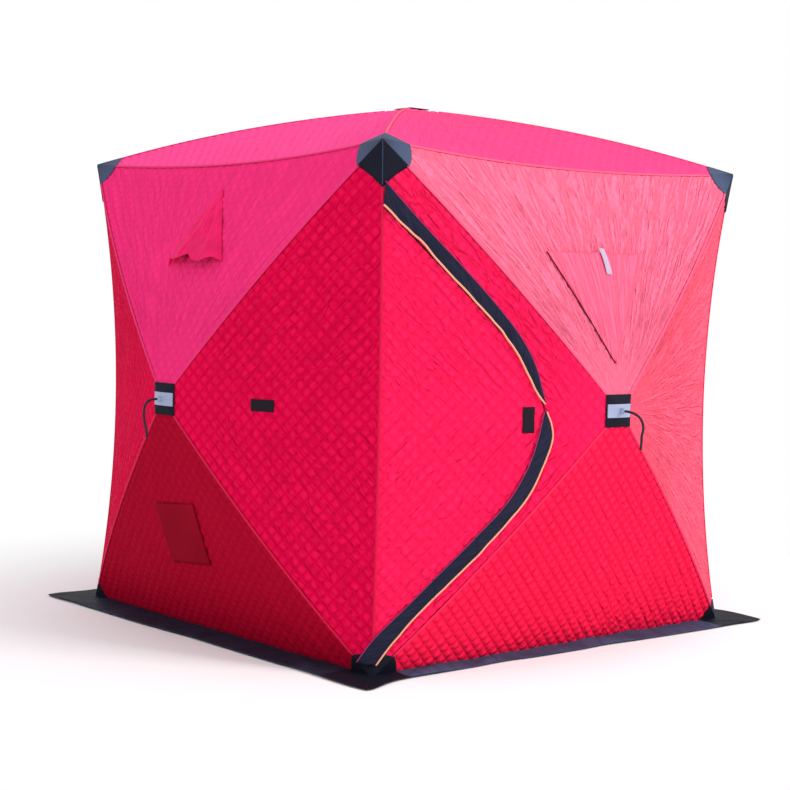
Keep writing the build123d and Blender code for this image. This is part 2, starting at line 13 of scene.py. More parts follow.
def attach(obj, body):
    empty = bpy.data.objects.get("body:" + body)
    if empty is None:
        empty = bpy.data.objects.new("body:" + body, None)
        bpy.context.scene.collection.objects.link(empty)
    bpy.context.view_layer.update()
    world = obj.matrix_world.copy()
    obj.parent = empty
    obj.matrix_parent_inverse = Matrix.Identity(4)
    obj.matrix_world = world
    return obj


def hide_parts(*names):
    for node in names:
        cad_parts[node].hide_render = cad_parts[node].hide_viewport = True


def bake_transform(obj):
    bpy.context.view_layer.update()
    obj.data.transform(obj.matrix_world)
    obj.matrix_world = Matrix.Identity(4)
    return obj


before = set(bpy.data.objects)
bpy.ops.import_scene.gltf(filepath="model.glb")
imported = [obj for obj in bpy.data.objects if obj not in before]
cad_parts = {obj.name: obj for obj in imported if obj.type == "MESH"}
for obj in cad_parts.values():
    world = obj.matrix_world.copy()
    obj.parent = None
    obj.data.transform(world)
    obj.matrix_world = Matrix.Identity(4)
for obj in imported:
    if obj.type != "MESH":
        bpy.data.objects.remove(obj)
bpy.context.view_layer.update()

# Shape of the shelter, as the frame has it
BASE_HALF = 0.900
TOP_HALF = 0.908
TOP_Z = 1.790
HUB_Z = 0.890
HUB_OUT = 0.268
ROOF_HUB_Z = 2.040
CORNER_SAG = 0.080
EAVE_SAG = 0.050
WALL_POLE_BOW = 0.030
ROOF_POLE_BOW = 0.036
HUB_OPENING = 0.045
BASE_Z = 0.0033
CLOTH_T = 0.005
SIDE_TURN = {"front": 0, "left": -90, "back": 180, "right": 90}
# Walls whose panels, welts and skirt get copies of their cloth with painted shade
SHADED_SIDES = ("left", "back")
WINDOW_SIDES = ("front", "back")
VENT_SIDES = ("left", "right")
CENTRE = np.array([0.0, 0.0, HUB_Z])

# Quilting
CELLS = 36                 # quilted diamonds along a pole seam
STEPS = 3                  # mesh steps in a diamond
PUFF = 0.0034              # height of a diamond's padding over its stitches
PUFF_SPREAD = 0.35         # how much the diamonds differ
FOLD_STRENGTH = {"roof": 0.0015, "top": 0.0060, "bottom": 0.0026, "left_side": 0.0034, "right_side": 0.0034}
PANEL_SEED = 5             # first random seed of the front wall's panels
WALL_SEEDS = 20            # seeds from wall to wall
DOOR_SEED = 41

# Door, flaps and tabs, in the front wall's x and z
ZIP_TOP = (-0.888, 1.579)
ZIP_FOOT = (-0.888, 0.101)
ZIP_UPPER_X = -0.480
ZIP_LOWER_X = -0.450
ZIP_TURN = (-0.303, 0.902)
ZIP_GAP = 0.006
FLAP_W = 0.048
FOLD_START = -0.845        # the turns given for the door's cloth start here, and end here
FOLD_MIDDLE = -0.700
FOLD_END = -0.555
FOLD_REST = 0.024          # a stretch between two turns that bends with neither
EVERYWHERE = 9.0           # farther along x than any cloth reaches
DOOR_TAB = (-0.357, 0.862)
WALL_TAB = (0.438, 0.890)
TAB_SHORT, TAB_LONG = 0.042, 0.090
SEWN_PATCH = (-0.030, 0.388)
SEWN_PATCH_SIZE = (0.256, 0.226)

# Window flap, toggle strap, vent and its hood, in a wall's x and z
WINDOW = {"middle": 0.005, "half": 0.236, "top": 1.440, "point": 1.062, "hem": 0.022}
TOGGLE = {"left": 0.016, "right": 0.044, "top": 1.456, "foot": 1.366, "lean": 0.22}
VENT = {"middle": 0.008, "half": 0.095, "top": 1.560, "base": 1.412}
HOOD = {"middle": 0.008, "half": 0.172, "top": 1.664, "base": 1.385, "out": 0.062}

# Thickness of sewn cloth, and how far a piece lies off its panel
FLAP_THICK = 0.0016
TAB_THICK = 0.002
CAP_THICK = 0.0022
TAB_LIFT = 0.0052
SEWN_PATCH_LIFT = 0.0078
FLOOR_CLEAR = 0.0004       # no cloth lies lower than this

# Zips, piping and sewing: how far they stand off, their width and their height
DOOR_ZIP = (0.0005, 0.006, 0.003)
WINDOW_ZIP = (0.0045, 0.0036, 0.004)
SEWING = (0.0005, 0.005, 0.003)
PIPING_RISE = 0.001
HEM_SIZE = (0.008, 0.004)
HEM_LIFTS = (0.0065, 0.0062)

# Caps on the corners: their reach along each seam, the bulge of each sector's rim, and their lift
CAP_WINGS = ((0.105, 0.128, 0.128), (0.03, 0.07), 0.0052)
CAP_FRONTS = ((0.128, 0.158), (-0.05,), 0.0056)
FEET = ((0.105, 0.105, 0.085), (0.05, 0.0), 0.0058)
CAP_FOLD = (0.006, 0.152)  # the stretch of the corner that the cap's fold runs along
CAP_FOLD_LIFT = 0.0072
CAP_FOLD_SIZE = (0.0045, 0.003)

# Patches on the hubs: their half widths, their lift and the pitch of their ridges
HUB_CLOTH = (0.064, 0.058)
HUB_CLOTH_LIFT = 0.0048
HUB_RIDGES = 0.013
ROOF_CLOTH = 0.05

# Flat sizes that pieces are cut from, and the most that the area of some is given as
FLAT = {"surround": (1.30, 0.62), "flap": (0.95, FLAP_W), "window": (0.48, 0.78), "toggle": (0.056, 0.095),
        "patch": (0.262, 0.470), "hood": 0.42, "skirt": 0.178}
MOST_AREA = {"surround": 0.8, "window": 0.37, "skirt": 0.378}

# Seeds of the random folds
FLAP_SEEDS = (61, 62)
HOOD_SEEDS = (71, 73, 75)
SKIRT_SEEDS = (80, 85, 90, 95)


# Lines and grids
def held(values):
    """Values kept between 0 and 1."""
    return np.clip(values, 0, 1)


def unit(ways):
    """Ways at length one."""
    return ways / np.maximum(np.linalg.norm(ways, axis=-1, keepdims=True), 1e-12)


def between(a, b, share):
    """From a to b by a share."""
    return a * (1 - share) + b * share


def crossed(rows, columns):
    """Two ranges, each with its start, stop and count, crossed as two grids."""
    return np.meshgrid(np.linspace(*rows), np.linspace(*columns), indexing="ij")


def run_of(line):
    """How far along a line of points each of them lies."""
    return np.concatenate([[0], np.cumsum(np.linalg.norm(np.diff(line, axis=0), axis=1))])


def along_curve(curve, distance):
    """Points of a curve at given distances from its start."""
    run = run_of(curve)
    return np.stack([np.interp(distance, run, curve[:, k]) for k in range(curve.shape[1])], -1)


def evenly(line, count):
    """A line of points, dealt out again at even steps."""
    return along_curve(line, np.linspace(0, run_of(line)[-1], count))


def normals_away(path):
    """Unit steps away from the centre."""
    return unit(path - CENTRE)


# Panels
def panel_net(peak, start, end, sag, bow):
    """Control points of a panel: rows run from the hub to the far edge, columns from start to end."""
    peak, start, end = (np.array(p, float) for p in (peak, start, end))
    share = HUB_OPENING * 2 ** 0.5 / np.linalg.norm(start - peak)
    near = [peak + (start - peak) * share, peak + (end - peak) * share]
    near_mid, far_mid = (near[0] + near[1]) / 2, (start + end) / 2
    far = far_mid - normals_away(far_mid) * 2 * sag
    sides = [(inner + outer) / 2 for inner, outer in zip(near, (start, end))]
    sides = [middle + normals_away(middle) * 2 * bow for middle in sides]
    corners = (near[0] + near[1] + start + end) / 4
    heart = (near_mid + far) / 2 + (sides[0] + sides[1]) / 2 - corners
    return np.array([[near[0], near_mid, near[1]], [sides[0], heart, sides[1]], [start, far, end]])


TOP_LEFT, TOP_RIGHT = (-TOP_HALF, -TOP_HALF, TOP_Z), (TOP_HALF, -TOP_HALF, TOP_Z)
FOOT_LEFT, FOOT_RIGHT = (-BASE_HALF, -BASE_HALF, BASE_Z), (BASE_HALF, -BASE_HALF, BASE_Z)
WALL_HUB = (0, -BASE_HALF - HUB_OUT, HUB_Z)
NETS = {"roof": panel_net((0, 0, ROOF_HUB_Z), TOP_LEFT, TOP_RIGHT, EAVE_SAG, ROOF_POLE_BOW),
        "top": panel_net(WALL_HUB, TOP_LEFT, TOP_RIGHT, EAVE_SAG, WALL_POLE_BOW),
        "bottom": panel_net(WALL_HUB, FOOT_LEFT, FOOT_RIGHT, 0, WALL_POLE_BOW),
        "left_side": panel_net(WALL_HUB, TOP_LEFT, FOOT_LEFT, CORNER_SAG, WALL_POLE_BOW),
        "right_side": panel_net(WALL_HUB, TOP_RIGHT, FOOT_RIGHT, CORNER_SAG, WALL_POLE_BOW)}
SEAM = float(np.linalg.norm(np.subtract(TOP_LEFT, WALL_HUB)))
NEAR_SHARE = HUB_OPENING * 2 ** 0.5 / SEAM


def bends(t):
    """The three quadratic Bernstein weights of t."""
    return np.stack([(1 - t) ** 2, 2 * t * (1 - t), t * t], -1)


def patch_point(net, u, v):
    """Points of a patch: the control points weighted by u along the rows and v along the columns."""
    return np.einsum("...i,...j,ijk->...k", bends(u), bends(v), net)


def depth_of(net):
    """Distance of a panel's plane from the centre."""
    across = np.cross(net[2, 2] - net[2, 0], net[0, 0] - net[2, 0])
    return abs(np.dot(net[2, 0] - CENTRE, across / np.linalg.norm(across)))


def lift_off(net, points, lift):
    """Points carried away from the centre, so that they rise by lift, measured square to the panel."""
    return CENTRE + (points - CENTRE) * (1 + np.asarray(lift) / depth_of(net))[..., None]


def seam_point(net, p, q, lift=0.0):
    """A place on a panel, p along its first pole seam and q along its second, both 0 at the hub.

    Their sum runs from the hub to the far edge, and q's part of it runs across.
    """
    total = p + q
    u = (total - NEAR_SHARE) / (1 - NEAR_SHARE)
    v = q / np.maximum(total, 1e-9)
    return lift_off(net, patch_point(net, u, v), lift)


def seam_place(net, x, z):
    """The u and v of the points that are seen at x and z from the front, found by Newton's steps."""
    u, v = np.full(np.shape(x), 0.5), np.full(np.shape(x), 0.5)
    small = 1e-4
    for _ in range(12):
        here = patch_point(net, u, v)
        along = (patch_point(net, u + small, v) - here) / small
        across = (patch_point(net, u, v + small) - here) / small
        miss_x, miss_z = x - here[..., 0], z - here[..., 2]
        det = along[..., 0] * across[..., 2] - along[..., 2] * across[..., 0]
        u = u + (miss_x * across[..., 2] - miss_z * across[..., 0]) / det
        v = v + (miss_z * along[..., 0] - miss_x * along[..., 2]) / det
    return u, v


def on_panel(net, x, z, lift):
    """Points on a panel that are seen at x and z from the front, lifted off it."""
    u, v = seam_place(net, np.asarray(x, float), np.asarray(z, float))
    return lift_off(net, patch_point(net, u, v), lift)


def quilt_uv(net, x, z):
    """Metres along both pole seams of the places that are seen at x and z from the front."""
    u, v = seam_place(net, x, z)
    total = NEAR_SHARE + u * (1 - NEAR_SHARE)
    return np.stack([total * (1 - v), total * v], -1) * SEAM


def turned(points, side):
    """Points of the front wall, turned about the upright axis to another wall."""
    angle = math.radians(SIDE_TURN[side])
    c, s = math.cos(angle), math.sin(angle)
    return points @ np.array([[c, s, 0], [-s, c, 0], [0, 0, 1]])


def edge_of(kind, across, lift=0.0):
    """A panel's pole seam from its hub to its corner, across being 0 or 1, or its far edge for None."""
    net, t = NETS[kind], np.linspace(0, 1, 60)
    u, v = (np.ones(60), t) if across is None else (t, np.full(60, float(across)))
    return lift_off(net, patch_point(net, u, v), lift)


# Folds
def smooth_noise(x, y, seed):
    """Random heights on a unit lattice, joined by s-shaped blends along both directions."""
    table = np.random.default_rng(seed).uniform(-1, 1, (64, 64))
    i, j = np.floor(x).astype(int), np.floor(y).astype(int)
    a, b = x - i, y - j
    a, b = a * a * (3 - 2 * a), b * b * (3 - 2 * b)
    low = table[i % 64, j % 64] * (1 - a) + table[(i + 1) % 64, j % 64] * a
    high = table[i % 64, (j + 1) % 64] * (1 - a) + table[(i + 1) % 64, (j + 1) % 64] * a
    return low * (1 - b) + high * b


def creases(x, y, seed):
    """Sharp valleys between round ridges: the size of smooth noise near its zero lines."""
    return np.minimum(np.abs(smooth_noise(x, y, seed)) * 2.4, 1) - 1


def quilt_height(p, q, seed):
    """Padding between the stitch lines: the root of two parabolas, one each way, flat at the seams."""
    a, b = p * CELLS, q * CELLS
    puff = np.sqrt(held(16 * (a % 1) * (1 - a % 1) * (b % 1) * (1 - b % 1)))
    spread = 1 + PUFF_SPREAD * smooth_noise(np.floor(a) * 0.71 + 0.5, np.floor(b) * 0.83 + 0.5, seed)
    return PUFF * puff * spread * held(np.minimum(np.minimum(p, q) * 80, (1 - p - q) * 30))


def fan_folds(p, q, seed, strength):
    """Creases that fan out from the hub to the far edge, coarser there, and die out at the seams."""
    total = p + q
    across = q / np.maximum(total, 1e-9)
    drift = 0.5 * smooth_noise(total * 5, across * 4, seed + 3)
    wide = creases(across * 22 + drift * 3, total * 4, seed)
    fine = creases(across * 40 + drift * 4, total * 8 + 3, seed + 1)
    patchy = np.clip(0.55 + 0.8 * smooth_noise(total * 4 + 7, across * 4, seed + 2), 0, 1.2)
    edge = held(np.minimum(p, q) * 16) * held((1.004 - total) * 18)
    fade = held(total * 1.8 - 0.1)
    return strength * patchy * edge * (wide * fade + 0.6 * fine * fade ** 2)


# Meshes
def closed_layers(top, bottom, faces):
    """Joins two layers of the same faces at their rim, so that the sheet is closed."""
    count = len(top)
    turns = [(0, 1), (1, 2), (2, 0)] if faces.shape[1] == 3 else [(0, 1), (1, 2), (2, 3), (3, 0)]
    edges = np.concatenate([faces[:, list(pair)] for pair in turns])
    keys = np.sort(edges, 1)
    _, first, times = np.unique(keys[:, 0] * count + keys[:, 1], return_index=True, return_counts=True)
    rim = edges[first[times == 1]]
    walls = np.stack([rim[:, 1], rim[:, 0], rim[:, 0] + count, rim[:, 1] + count], 1)
    lists = faces.tolist() + (faces[:, ::-1] + count).tolist() + walls.tolist()
    return np.concatenate([top, bottom]), lists


def joined(parts):
    """Several (points, faces, uv) as one."""
    points, faces, uv, start = [], [], [], 0
    for part_points, part_faces, part_uv in (part[:3] for part in parts):
        points.append(part_points)
        uv.append(part_uv)
        faces += [[corner + start for corner in face] for face in part_faces]
        start += len(part_points)
    return np.concatenate(points), faces, np.concatenate(uv)


def on_walls(parts, sides):
    """Parts of the front wall, made once for each of some walls and joined."""
    return joined([(turned(part[0], side), *part[1:3]) for side in sides for part in parts])


def grid_faces(rows, columns):
    """The quads of a grid of points, row by row."""
    at = np.arange(rows * columns).reshape(rows, columns)
    return np.stack([at[:-1, :-1], at[:-1, 1:], at[1:, 1:], at[1:, :-1]], -1).reshape(-1, 4)


def sewn_sheet(grid, thickness, uv, low=-EVERYWHERE, high=EVERYWHERE):
    """A closed sheet from a grid of points on its outer face, as (points, faces, uv).

    Only the faces whose middle lies between low and high along x are kept.
    """
    normal = unit(np.cross(np.gradient(grid, axis=1), np.gradient(grid, axis=0)))
    if np.sum(normal * (grid - CENTRE)) < 0:
        normal = -normal
    outer = grid.reshape(-1, 3)
    inner = (grid - normal * thickness).reshape(-1, 3)
    faces = grid_faces(*grid.shape[:2])
    middle = outer[faces].mean(1)[:, 0]
    faces = faces[(middle > low) & (middle <= high)]
    if len(faces) == 0:
        return outer[:0], [], uv.reshape(-1, 2)[:0]
    flat = np.cross(outer[faces[:, 1]] - outer[faces[:, 0]], outer[faces[:, 2]] - outer[faces[:, 0]])
    if np.sum(flat * normal.reshape(-1, 3)[faces[:, 0]]) < 0:
        faces = faces[:, ::-1]
    used, faces = np.unique(faces, return_inverse=True)
    points, lists = closed_layers(outer[used], inner[used], faces.reshape(-1, 4))
    pairs = uv.reshape(-1, 2)[used]
    return points, lists, np.concatenate([pairs, pairs])


def tube(path, width, height, outwards, sides):
    """A closed tube with an elliptic section along a path: width across, height along outwards."""
    tangent = unit(np.gradient(path, axis=0))
    up = unit(outwards - tangent * np.sum(outwards * tangent, 1, keepdims=True))
    across = np.cross(tangent, up)
    angle = np.arange(sides) * 2 * math.pi / sides
    ring = (across[:, None] * np.cos(angle)[None, :, None] * width / 2
            + up[:, None] * np.sin(angle)[None, :, None] * height / 2)
    points = (path[:, None] + ring).reshape(-1, 3)
    at = np.arange(len(path) * sides).reshape(len(path), sides)
    step = np.roll(at, -1, 1)
    faces = np.stack([at[:-1], step[:-1], step[1:], at[1:]], -1).reshape(-1, 4).tolist()
    faces += [at[0][::-1].tolist(), at[-1].tolist()]
    uv = np.stack(np.broadcast_arrays(run_of(path)[:, None], (angle * width / 2)[None]), -1)
    return points, faces, uv.reshape(-1, 2)


def tube_on(net, line, lift, width, height, sides=6):
    """A tube laid on a panel along a line of x and z."""
    path = on_panel(net, line[:, 0], line[:, 1], lift)
    return tube(path, width, height, normals_away(path), sides)


def sheet_area(points, faces):
    """Half the skin of a thin closed sheet: the sum of its faces' fans of triangles."""
    total = 0.0
    for corners in (3, 4):
        rows = np.array([face for face in faces if len(face) == corners])
        if len(rows):
            for k in range(1, corners - 1):
                a, b, c = points[rows[:, 0]], points[rows[:, k]], points[rows[:, k + 1]]
                total += np.linalg.norm(np.cross(b - a, c - a), axis=1).sum() / 2
    return float(total / 2)


# Outlines in the front wall's x and z
def tangent_arc(start, way, end, count=14):
    """Points of the circle that leaves start along way and meets end."""
    start, end = np.array(start, float), np.array(end, float)
    way = np.array(way, float) / np.linalg.norm(way)
    side = np.array([-way[1], way[0]])
    gap = end - start
    radius = gap @ gap / (2 * (side @ gap))
    middle = start + side * radius
    first = math.atan2(*(start - middle)[::-1])
    last = math.atan2(*(end - middle)[::-1])
    sweep = (last - first + math.pi) % (2 * math.pi) - math.pi
    angle = first + sweep * np.linspace(0, 1, count)
    return middle + abs(radius) * np.stack([np.cos(angle), np.sin(angle)], 1)


def door_edge(place, bend_x, up, shift, end):
    """The door's upper or lower edge, moved outwards by shift: a straight run and an arc to end."""
    start_z = place[1] + up * shift * 2 ** 0.5
    bend = (bend_x, start_z - up * (bend_x - place[0]))
    return np.concatenate([[(place[0], start_z)], tangent_arc(bend, (1, -up), end)])


def door_line(shift, tip_shift):
    """The door's curved edge, moved outwards, from its top round the tip to its foot."""
    tip = (ZIP_TURN[0] + tip_shift, ZIP_TURN[1])
    upper = door_edge(ZIP_TOP, ZIP_UPPER_X - 0.6 * shift, 1, shift, tip)
    lower = door_edge(ZIP_FOOT, ZIP_LOWER_X + 0.4 * shift, -1, shift, tip)
    return np.concatenate([upper, lower[::-1]])


def door_outline(shift):
    """The door with its edge moved outwards by shift, closed far outside the corner."""
    beyond = ZIP_TOP[0] - 0.3
    closing = [(beyond, ZIP_FOOT[1] - 0.3), (beyond, ZIP_TOP[1] + 0.3)]
    return np.concatenate([door_line(shift, shift), closing])


def distance_to(outline, x, z):
    """Distance from each place to a closed outline, below zero inside it."""
    a, b = outline, np.roll(outline, -1, 0)
    here = np.stack([x, z], -1)[..., None, :]
    run = b - a
    t = np.clip(np.sum((here - a) * run, -1) / np.sum(run * run, -1), 0, 1)
    away = np.linalg.norm(here - a - run * t[..., None], axis=-1).min(-1)
    level = (a[:, 1] > here[..., 1]) != (b[:, 1] > here[..., 1])
    rise = np.where(run[:, 1] == 0, 1e-12, run[:, 1])
    cross = here[..., 0] < a[:, 0] + (here[..., 1] - a[:, 1]) * run[:, 0] / rise
    inside = np.sum(level & cross, -1) % 2 == 1
    return np.where(inside, -away, away)


def window_triangle(inset):
    """The window's left and right upper corners and its lower point, drawn in by an inset."""
    half = WINDOW["half"] - 1.9 * inset
    top = WINDOW["top"] - inset
    return np.array([(WINDOW["middle"] - half, top), (WINDOW["middle"] + half, top),
                     (WINDOW["middle"], WINDOW["point"] + 1.9 * inset)])


def vent_triangle():
    """The vent's left and right lower corners and its upper point."""
    return np.array([(VENT["middle"] - VENT["half"], VENT["base"]),
                     (VENT["middle"] + VENT["half"], VENT["base"]), (VENT["middle"], VENT["top"])])


# Quilted panels
def quilted(net, seed, strength, keep=None, low=-EVERYWHERE, high=EVERYWHERE):
    """A quilted panel as (points, faces, uv, normals), whole or where keep(x, z) is above zero.

    The grid follows both seams, a few steps to a quilted diamond, and corners near the edge of what
    is kept are drawn onto it. Only the faces whose middle lies between low and high along x are kept,
    but the normals are those of the whole panel, so that its stretches meet without a line.
    """
    count = CELLS * STEPS
    i, j = np.meshgrid(np.arange(count + 1), np.arange(count + 1), indexing="ij")
    p, q = i / count, j / count
    inside = (i + j <= count) & (i + j >= int(NEAR_SHARE * count))
    if keep is not None:
        flat = seam_point(net, p, q)
        away = keep(flat[..., 0], flat[..., 2])
        slope_p, slope_q = np.gradient(away, 1 / count)
        steep = np.maximum(slope_p ** 2 + slope_q ** 2, 1e-9)
        near = np.abs(away) < 0.72 * SEAM / count
        p = np.where(near, p - away * slope_p / steep, p)
        q = np.where(near, q - away * slope_q / steep, q)
        inside = inside & ((away > 0) | near)
    at = np.arange((count + 1) ** 2).reshape(count + 1, count + 1)
    first = np.stack([at[:-1, :-1], at[1:, :-1], at[:-1, 1:]], -1).reshape(-1, 3)
    second = np.stack([at[1:, :-1], at[1:, 1:], at[:-1, 1:]], -1).reshape(-1, 3)
    faces = np.concatenate([first, second])
    faces = faces[inside.ravel()[faces].all(1)]
    smooth = seam_point(net, p, q).reshape(-1, 3)
    middle = smooth[faces].mean(1)
    if keep is not None:
        faces = faces[keep(middle[:, 0], middle[:, 2]) > 0.0003]
    used, faces = np.unique(faces, return_inverse=True)
    faces = faces.reshape(-1, 3)
    p, q = p.ravel()[used], q.ravel()[used]
    outer = seam_point(net, p, q, quilt_height(p, q, seed) + fan_folds(p, q, seed, strength))
    inner = seam_point(net, p, q, -CLOTH_T - 0.5 * quilt_height(p, q, seed + 9))
    a, b, c = (outer[faces[:, k]] for k in range(3))
    flat = np.cross(b - a, c - a)
    if np.sum(flat * (a - CENTRE)) < 0:
        faces, flat = faces[:, ::-1], -flat
    normal = np.zeros_like(outer)
    for k in range(3):
        np.add.at(normal, faces[:, k], flat)
    normal /= np.maximum(np.linalg.norm(normal, axis=1, keepdims=True), 1e-12)
    place = outer[faces].mean(1)[:, 0]
    used, faces = np.unique(faces[(place > low) & (place <= high)], return_inverse=True)
    points, lists = closed_layers(outer[used], inner[used], faces.reshape(-1, 3))
    uv = np.stack([p, q], -1)[used] * SEAM
    normal = normal[used]
    return points, lists, np.concatenate([uv, uv]), np.concatenate([normal, -normal])


def flat_size(net):
    """Width, length and area that a panel is cut to: sums over a fine grid of its patch."""
    u, v = np.meshgrid(np.linspace(0, 1, 40), np.linspace(0, 1, 40), indexing="ij")
    grid = patch_point(net, u, v)
    a = np.linalg.norm(np.cross(grid[1:, :-1] - grid[:-1, :-1], grid[:-1, 1:] - grid[:-1, :-1]), axis=-1)
    b = np.linalg.norm(np.cross(grid[:-1, 1:] - grid[1:, 1:], grid[1:, :-1] - grid[1:, 1:]), axis=-1)
    width = np.linalg.norm(np.diff(grid[-1], axis=0), axis=1).sum()
    length = np.linalg.norm(np.diff(grid[:, 20], axis=0), axis=1).sum()
    return (float(width), float(length)), float((a.sum() + b.sum()) / 2)


# Shader building
class Value:
    """An output of a shader node, on which plain arithmetic makes math nodes."""

    def __init__(self, socket):
        self.socket = socket
        self.tree = socket.id_data

    def __add__(self, other):
        return calc("ADD", self, other)

    def __sub__(self, other):
        return calc("SUBTRACT", self, other)

    def __rsub__(self, other):
        return calc("SUBTRACT", other, self)

    def __mul__(self, other):
        return calc("MULTIPLY", self, other)

    def __truediv__(self, other):
        return calc("DIVIDE", self, other)

    def __rtruediv__(self, other):
        return calc("DIVIDE", other, self)


def feed(target, value):
    """Links a value to an input of a node, or sets the input to a number or a colour."""
    if isinstance(value, Value):
        value.tree.links.new(value.socket, target)
    else:
        target.default_value = value


def node(tree, kind, **values):
    """A new node, with its settings and its inputs given by name."""
    made = tree.nodes.new(kind)
    for key, value in values.items():
        if hasattr(made, key):
            setattr(made, key, value)
        else:
            feed(made.inputs[key.replace("_", " ")], value)
    return made


def calc(operation, *values, kind="ShaderNodeMath", result=0):
    """A math node over values and numbers, with one value or more among them."""
    tree = next(value.tree for value in values if isinstance(value, Value))
    made = node(tree, kind, operation=operation)
    for place, value in enumerate(values):
        feed(made.inputs[place], value)
    return Value(made.outputs[result])


def least(a, b):
    """The smaller of two values."""
    return calc("MINIMUM", a, b)


def most(a, b):
    """The larger of two values."""
    return calc("MAXIMUM", a, b)


def kept(value):
    """A value kept between 0 and 1."""
    return least(most(value, 0.0), 1.0)


def split(vector):
    """The x, y and z of a vector."""
    return [Value(socket) for socket in node(vector.tree, "ShaderNodeSeparateXYZ", Vector=vector).outputs]


def cloth_uv(tree):
    """The piece's own UV map, in metres."""
    return Value(node(tree, "ShaderNodeUVMap", uv_map="cloth").outputs[0])


def object_place(tree):
    """Object coordinates."""
    return Value(node(tree, "ShaderNodeTexCoord").outputs["Object"])


def noise(vector, scale, detail, **values):
    """Noise at a scale over a vector."""
    return Value(node(vector.tree, "ShaderNodeTexNoise", Vector=vector, Scale=scale, Detail=detail,
                      **values).outputs[0])


def tint(share, low, high):
    """A colour mix by a share, each colour a value or three numbers."""
    made = node(share.tree, "ShaderNodeMix", data_type="RGBA")
    feed(made.inputs[0], share)
    for place, colour in ((6, low), (7, high)):
        feed(made.inputs[place], colour if isinstance(colour, Value) else (*colour, 1))
    return Value(made.outputs[2])


def toned(colour, share, more=0.0):
    """A colour times a share, and a little more."""
    return tuple(min(part * share + more, 1) for part in colour)


def linear(red, green, blue):
    """A colour that is given as 0 to 255 on a screen, as linear light."""
    share = np.array([red, green, blue]) / 255
    return tuple(np.where(share > 0.04045, ((share + 0.055) / 1.055) ** 2.4, share / 12.92))


def group(name, inputs, build):
    """A shader group with named inputs, whose outputs are what build makes of them.

    An input without a number is a vector.
    """
    tree = bpy.data.node_groups.new(name, "ShaderNodeTree")
    for label, value in inputs.items():
        kind = "NodeSocketVector" if value is None else "NodeSocketFloat"
        socket = tree.interface.new_socket(label, in_out="INPUT", socket_type=kind)
        if value is not None:
            socket.default_value = value
    start = tree.nodes.new("NodeGroupInput")
    made = build(tree, *(Value(start.outputs[label]) for label in inputs))
    for label in made:
        tree.interface.new_socket(label, in_out="OUTPUT", socket_type="NodeSocketFloat")
    end = tree.nodes.new("NodeGroupOutput")
    for label, value in made.items():
        feed(end.inputs[label], value)
    return tree


def placed(tree, made_group, **values):
    """The outputs of a shader group in a material, by name."""
    made = node(tree, "ShaderNodeGroup", node_tree=made_group, **values)
    return {socket.name: Value(socket) for socket in made.outputs}


STITCH_HOLLOW = 0.0045     # reach of the hollow beside a line of stitches
STITCH_LONG = 0.0045       # from stitch to stitch
STITCH_SPACE = 0.35        # share of that without thread
THREAD_HALF = 0.0007


def stitches_of(tree, vector, pitch):
    """Diamond quilting: the hollow beside each stitch line, its thread, and the puff between them.

    The puff is the root of two parabolas, one each way.
    """
    near, threads, puffs = [], [], []
    places = split(vector)[:2]
    for own, other in (places, places[::-1]):
        turn = calc("FRACT", own / pitch)
        metres = least(turn, 1.0 - turn) * pitch
        near.append(1.0 - least(metres / STITCH_HOLLOW, 1.0))
        dash = calc("GREATER_THAN", calc("FRACT", other / STITCH_LONG), STITCH_SPACE)
        threads.append(calc("LESS_THAN", metres, THREAD_HALF) * dash)
        puffs.append(turn * (1.0 - turn) * 4.0)
    return {"Hollow": most(*near), "Thread": most(*threads), "Puff": calc("POWER", puffs[0] * puffs[1], 0.5)}


def pulls_of(tree, vector, pitch, turn, stretch):
    """Fine pull lines in stretched cloth: long thin noise, as the height of its folds and their creases."""
    turned_uv = node(tree, "ShaderNodeVectorRotate", rotation_type="Z_AXIS", Vector=vector, Angle=turn)
    per_metre = 1.0 / pitch
    squeeze = node(tree, "ShaderNodeCombineXYZ", X=per_metre, Y=per_metre * stretch, Z=1.0)
    scaled = calc("MULTIPLY", Value(turned_uv.outputs[0]), Value(squeeze.outputs[0]),
                  kind="ShaderNodeVectorMath")
    ridge = calc("ABSOLUTE", noise(scaled, 1.0, 2.0, Roughness=0.5, Distortion=0.35) - 0.5)
    return {"Height": least(ridge * 6.0, 1.0), "Crease": 1.0 - least(ridge * 13.0, 1.0)}


def weave_of(tree, vector, pitch):
    """Plain weave: two crossed sine waves, as a height."""
    waves = [calc("SINE", part / pitch * (2 * math.pi)) for part in split(vector)[:2]]
    return {"Height": waves[0] * waves[1] * 0.5 + 0.5}


def fading_of(tree, size):
    """Slow changes of shade over the hut, and fine specks, from noise in Object coordinates."""
    place = object_place(tree)
    return {"Shade": noise(place, 1.0 / size, 3.0, Roughness=0.55), "Speck": noise(place, 420.0, 2.0)}


STITCHES = group("quilt_stitches", {"Vector": None, "Pitch": 0.035}, stitches_of)
PULLS = group("pull_lines", {"Vector": None, "Pitch": 0.03, "Turn": 0.0, "Stretch": 0.25}, pulls_of)
WEAVE = group("plain_weave", {"Vector": None, "Pitch": 0.0016}, weave_of)
FADING = group("slow_fading", {"Size": 0.5}, fading_of)


MATERIALS = {}


def surface(name, roughness, **constants):
    """Makes a material, keeps it by its name, and returns its tree and its shader.

    Plain values are set on the shader itself.
    """
    material = MATERIALS[name] = bpy.data.materials.new(name)
    material.use_nodes = True
    shader = material.node_tree.nodes["Principled BSDF"]
    shader.inputs["Roughness"].default_value = roughness
    for key, value in constants.items():
        shader.inputs[key.replace("_", " ")].default_value = value
    return material.node_tree, shader


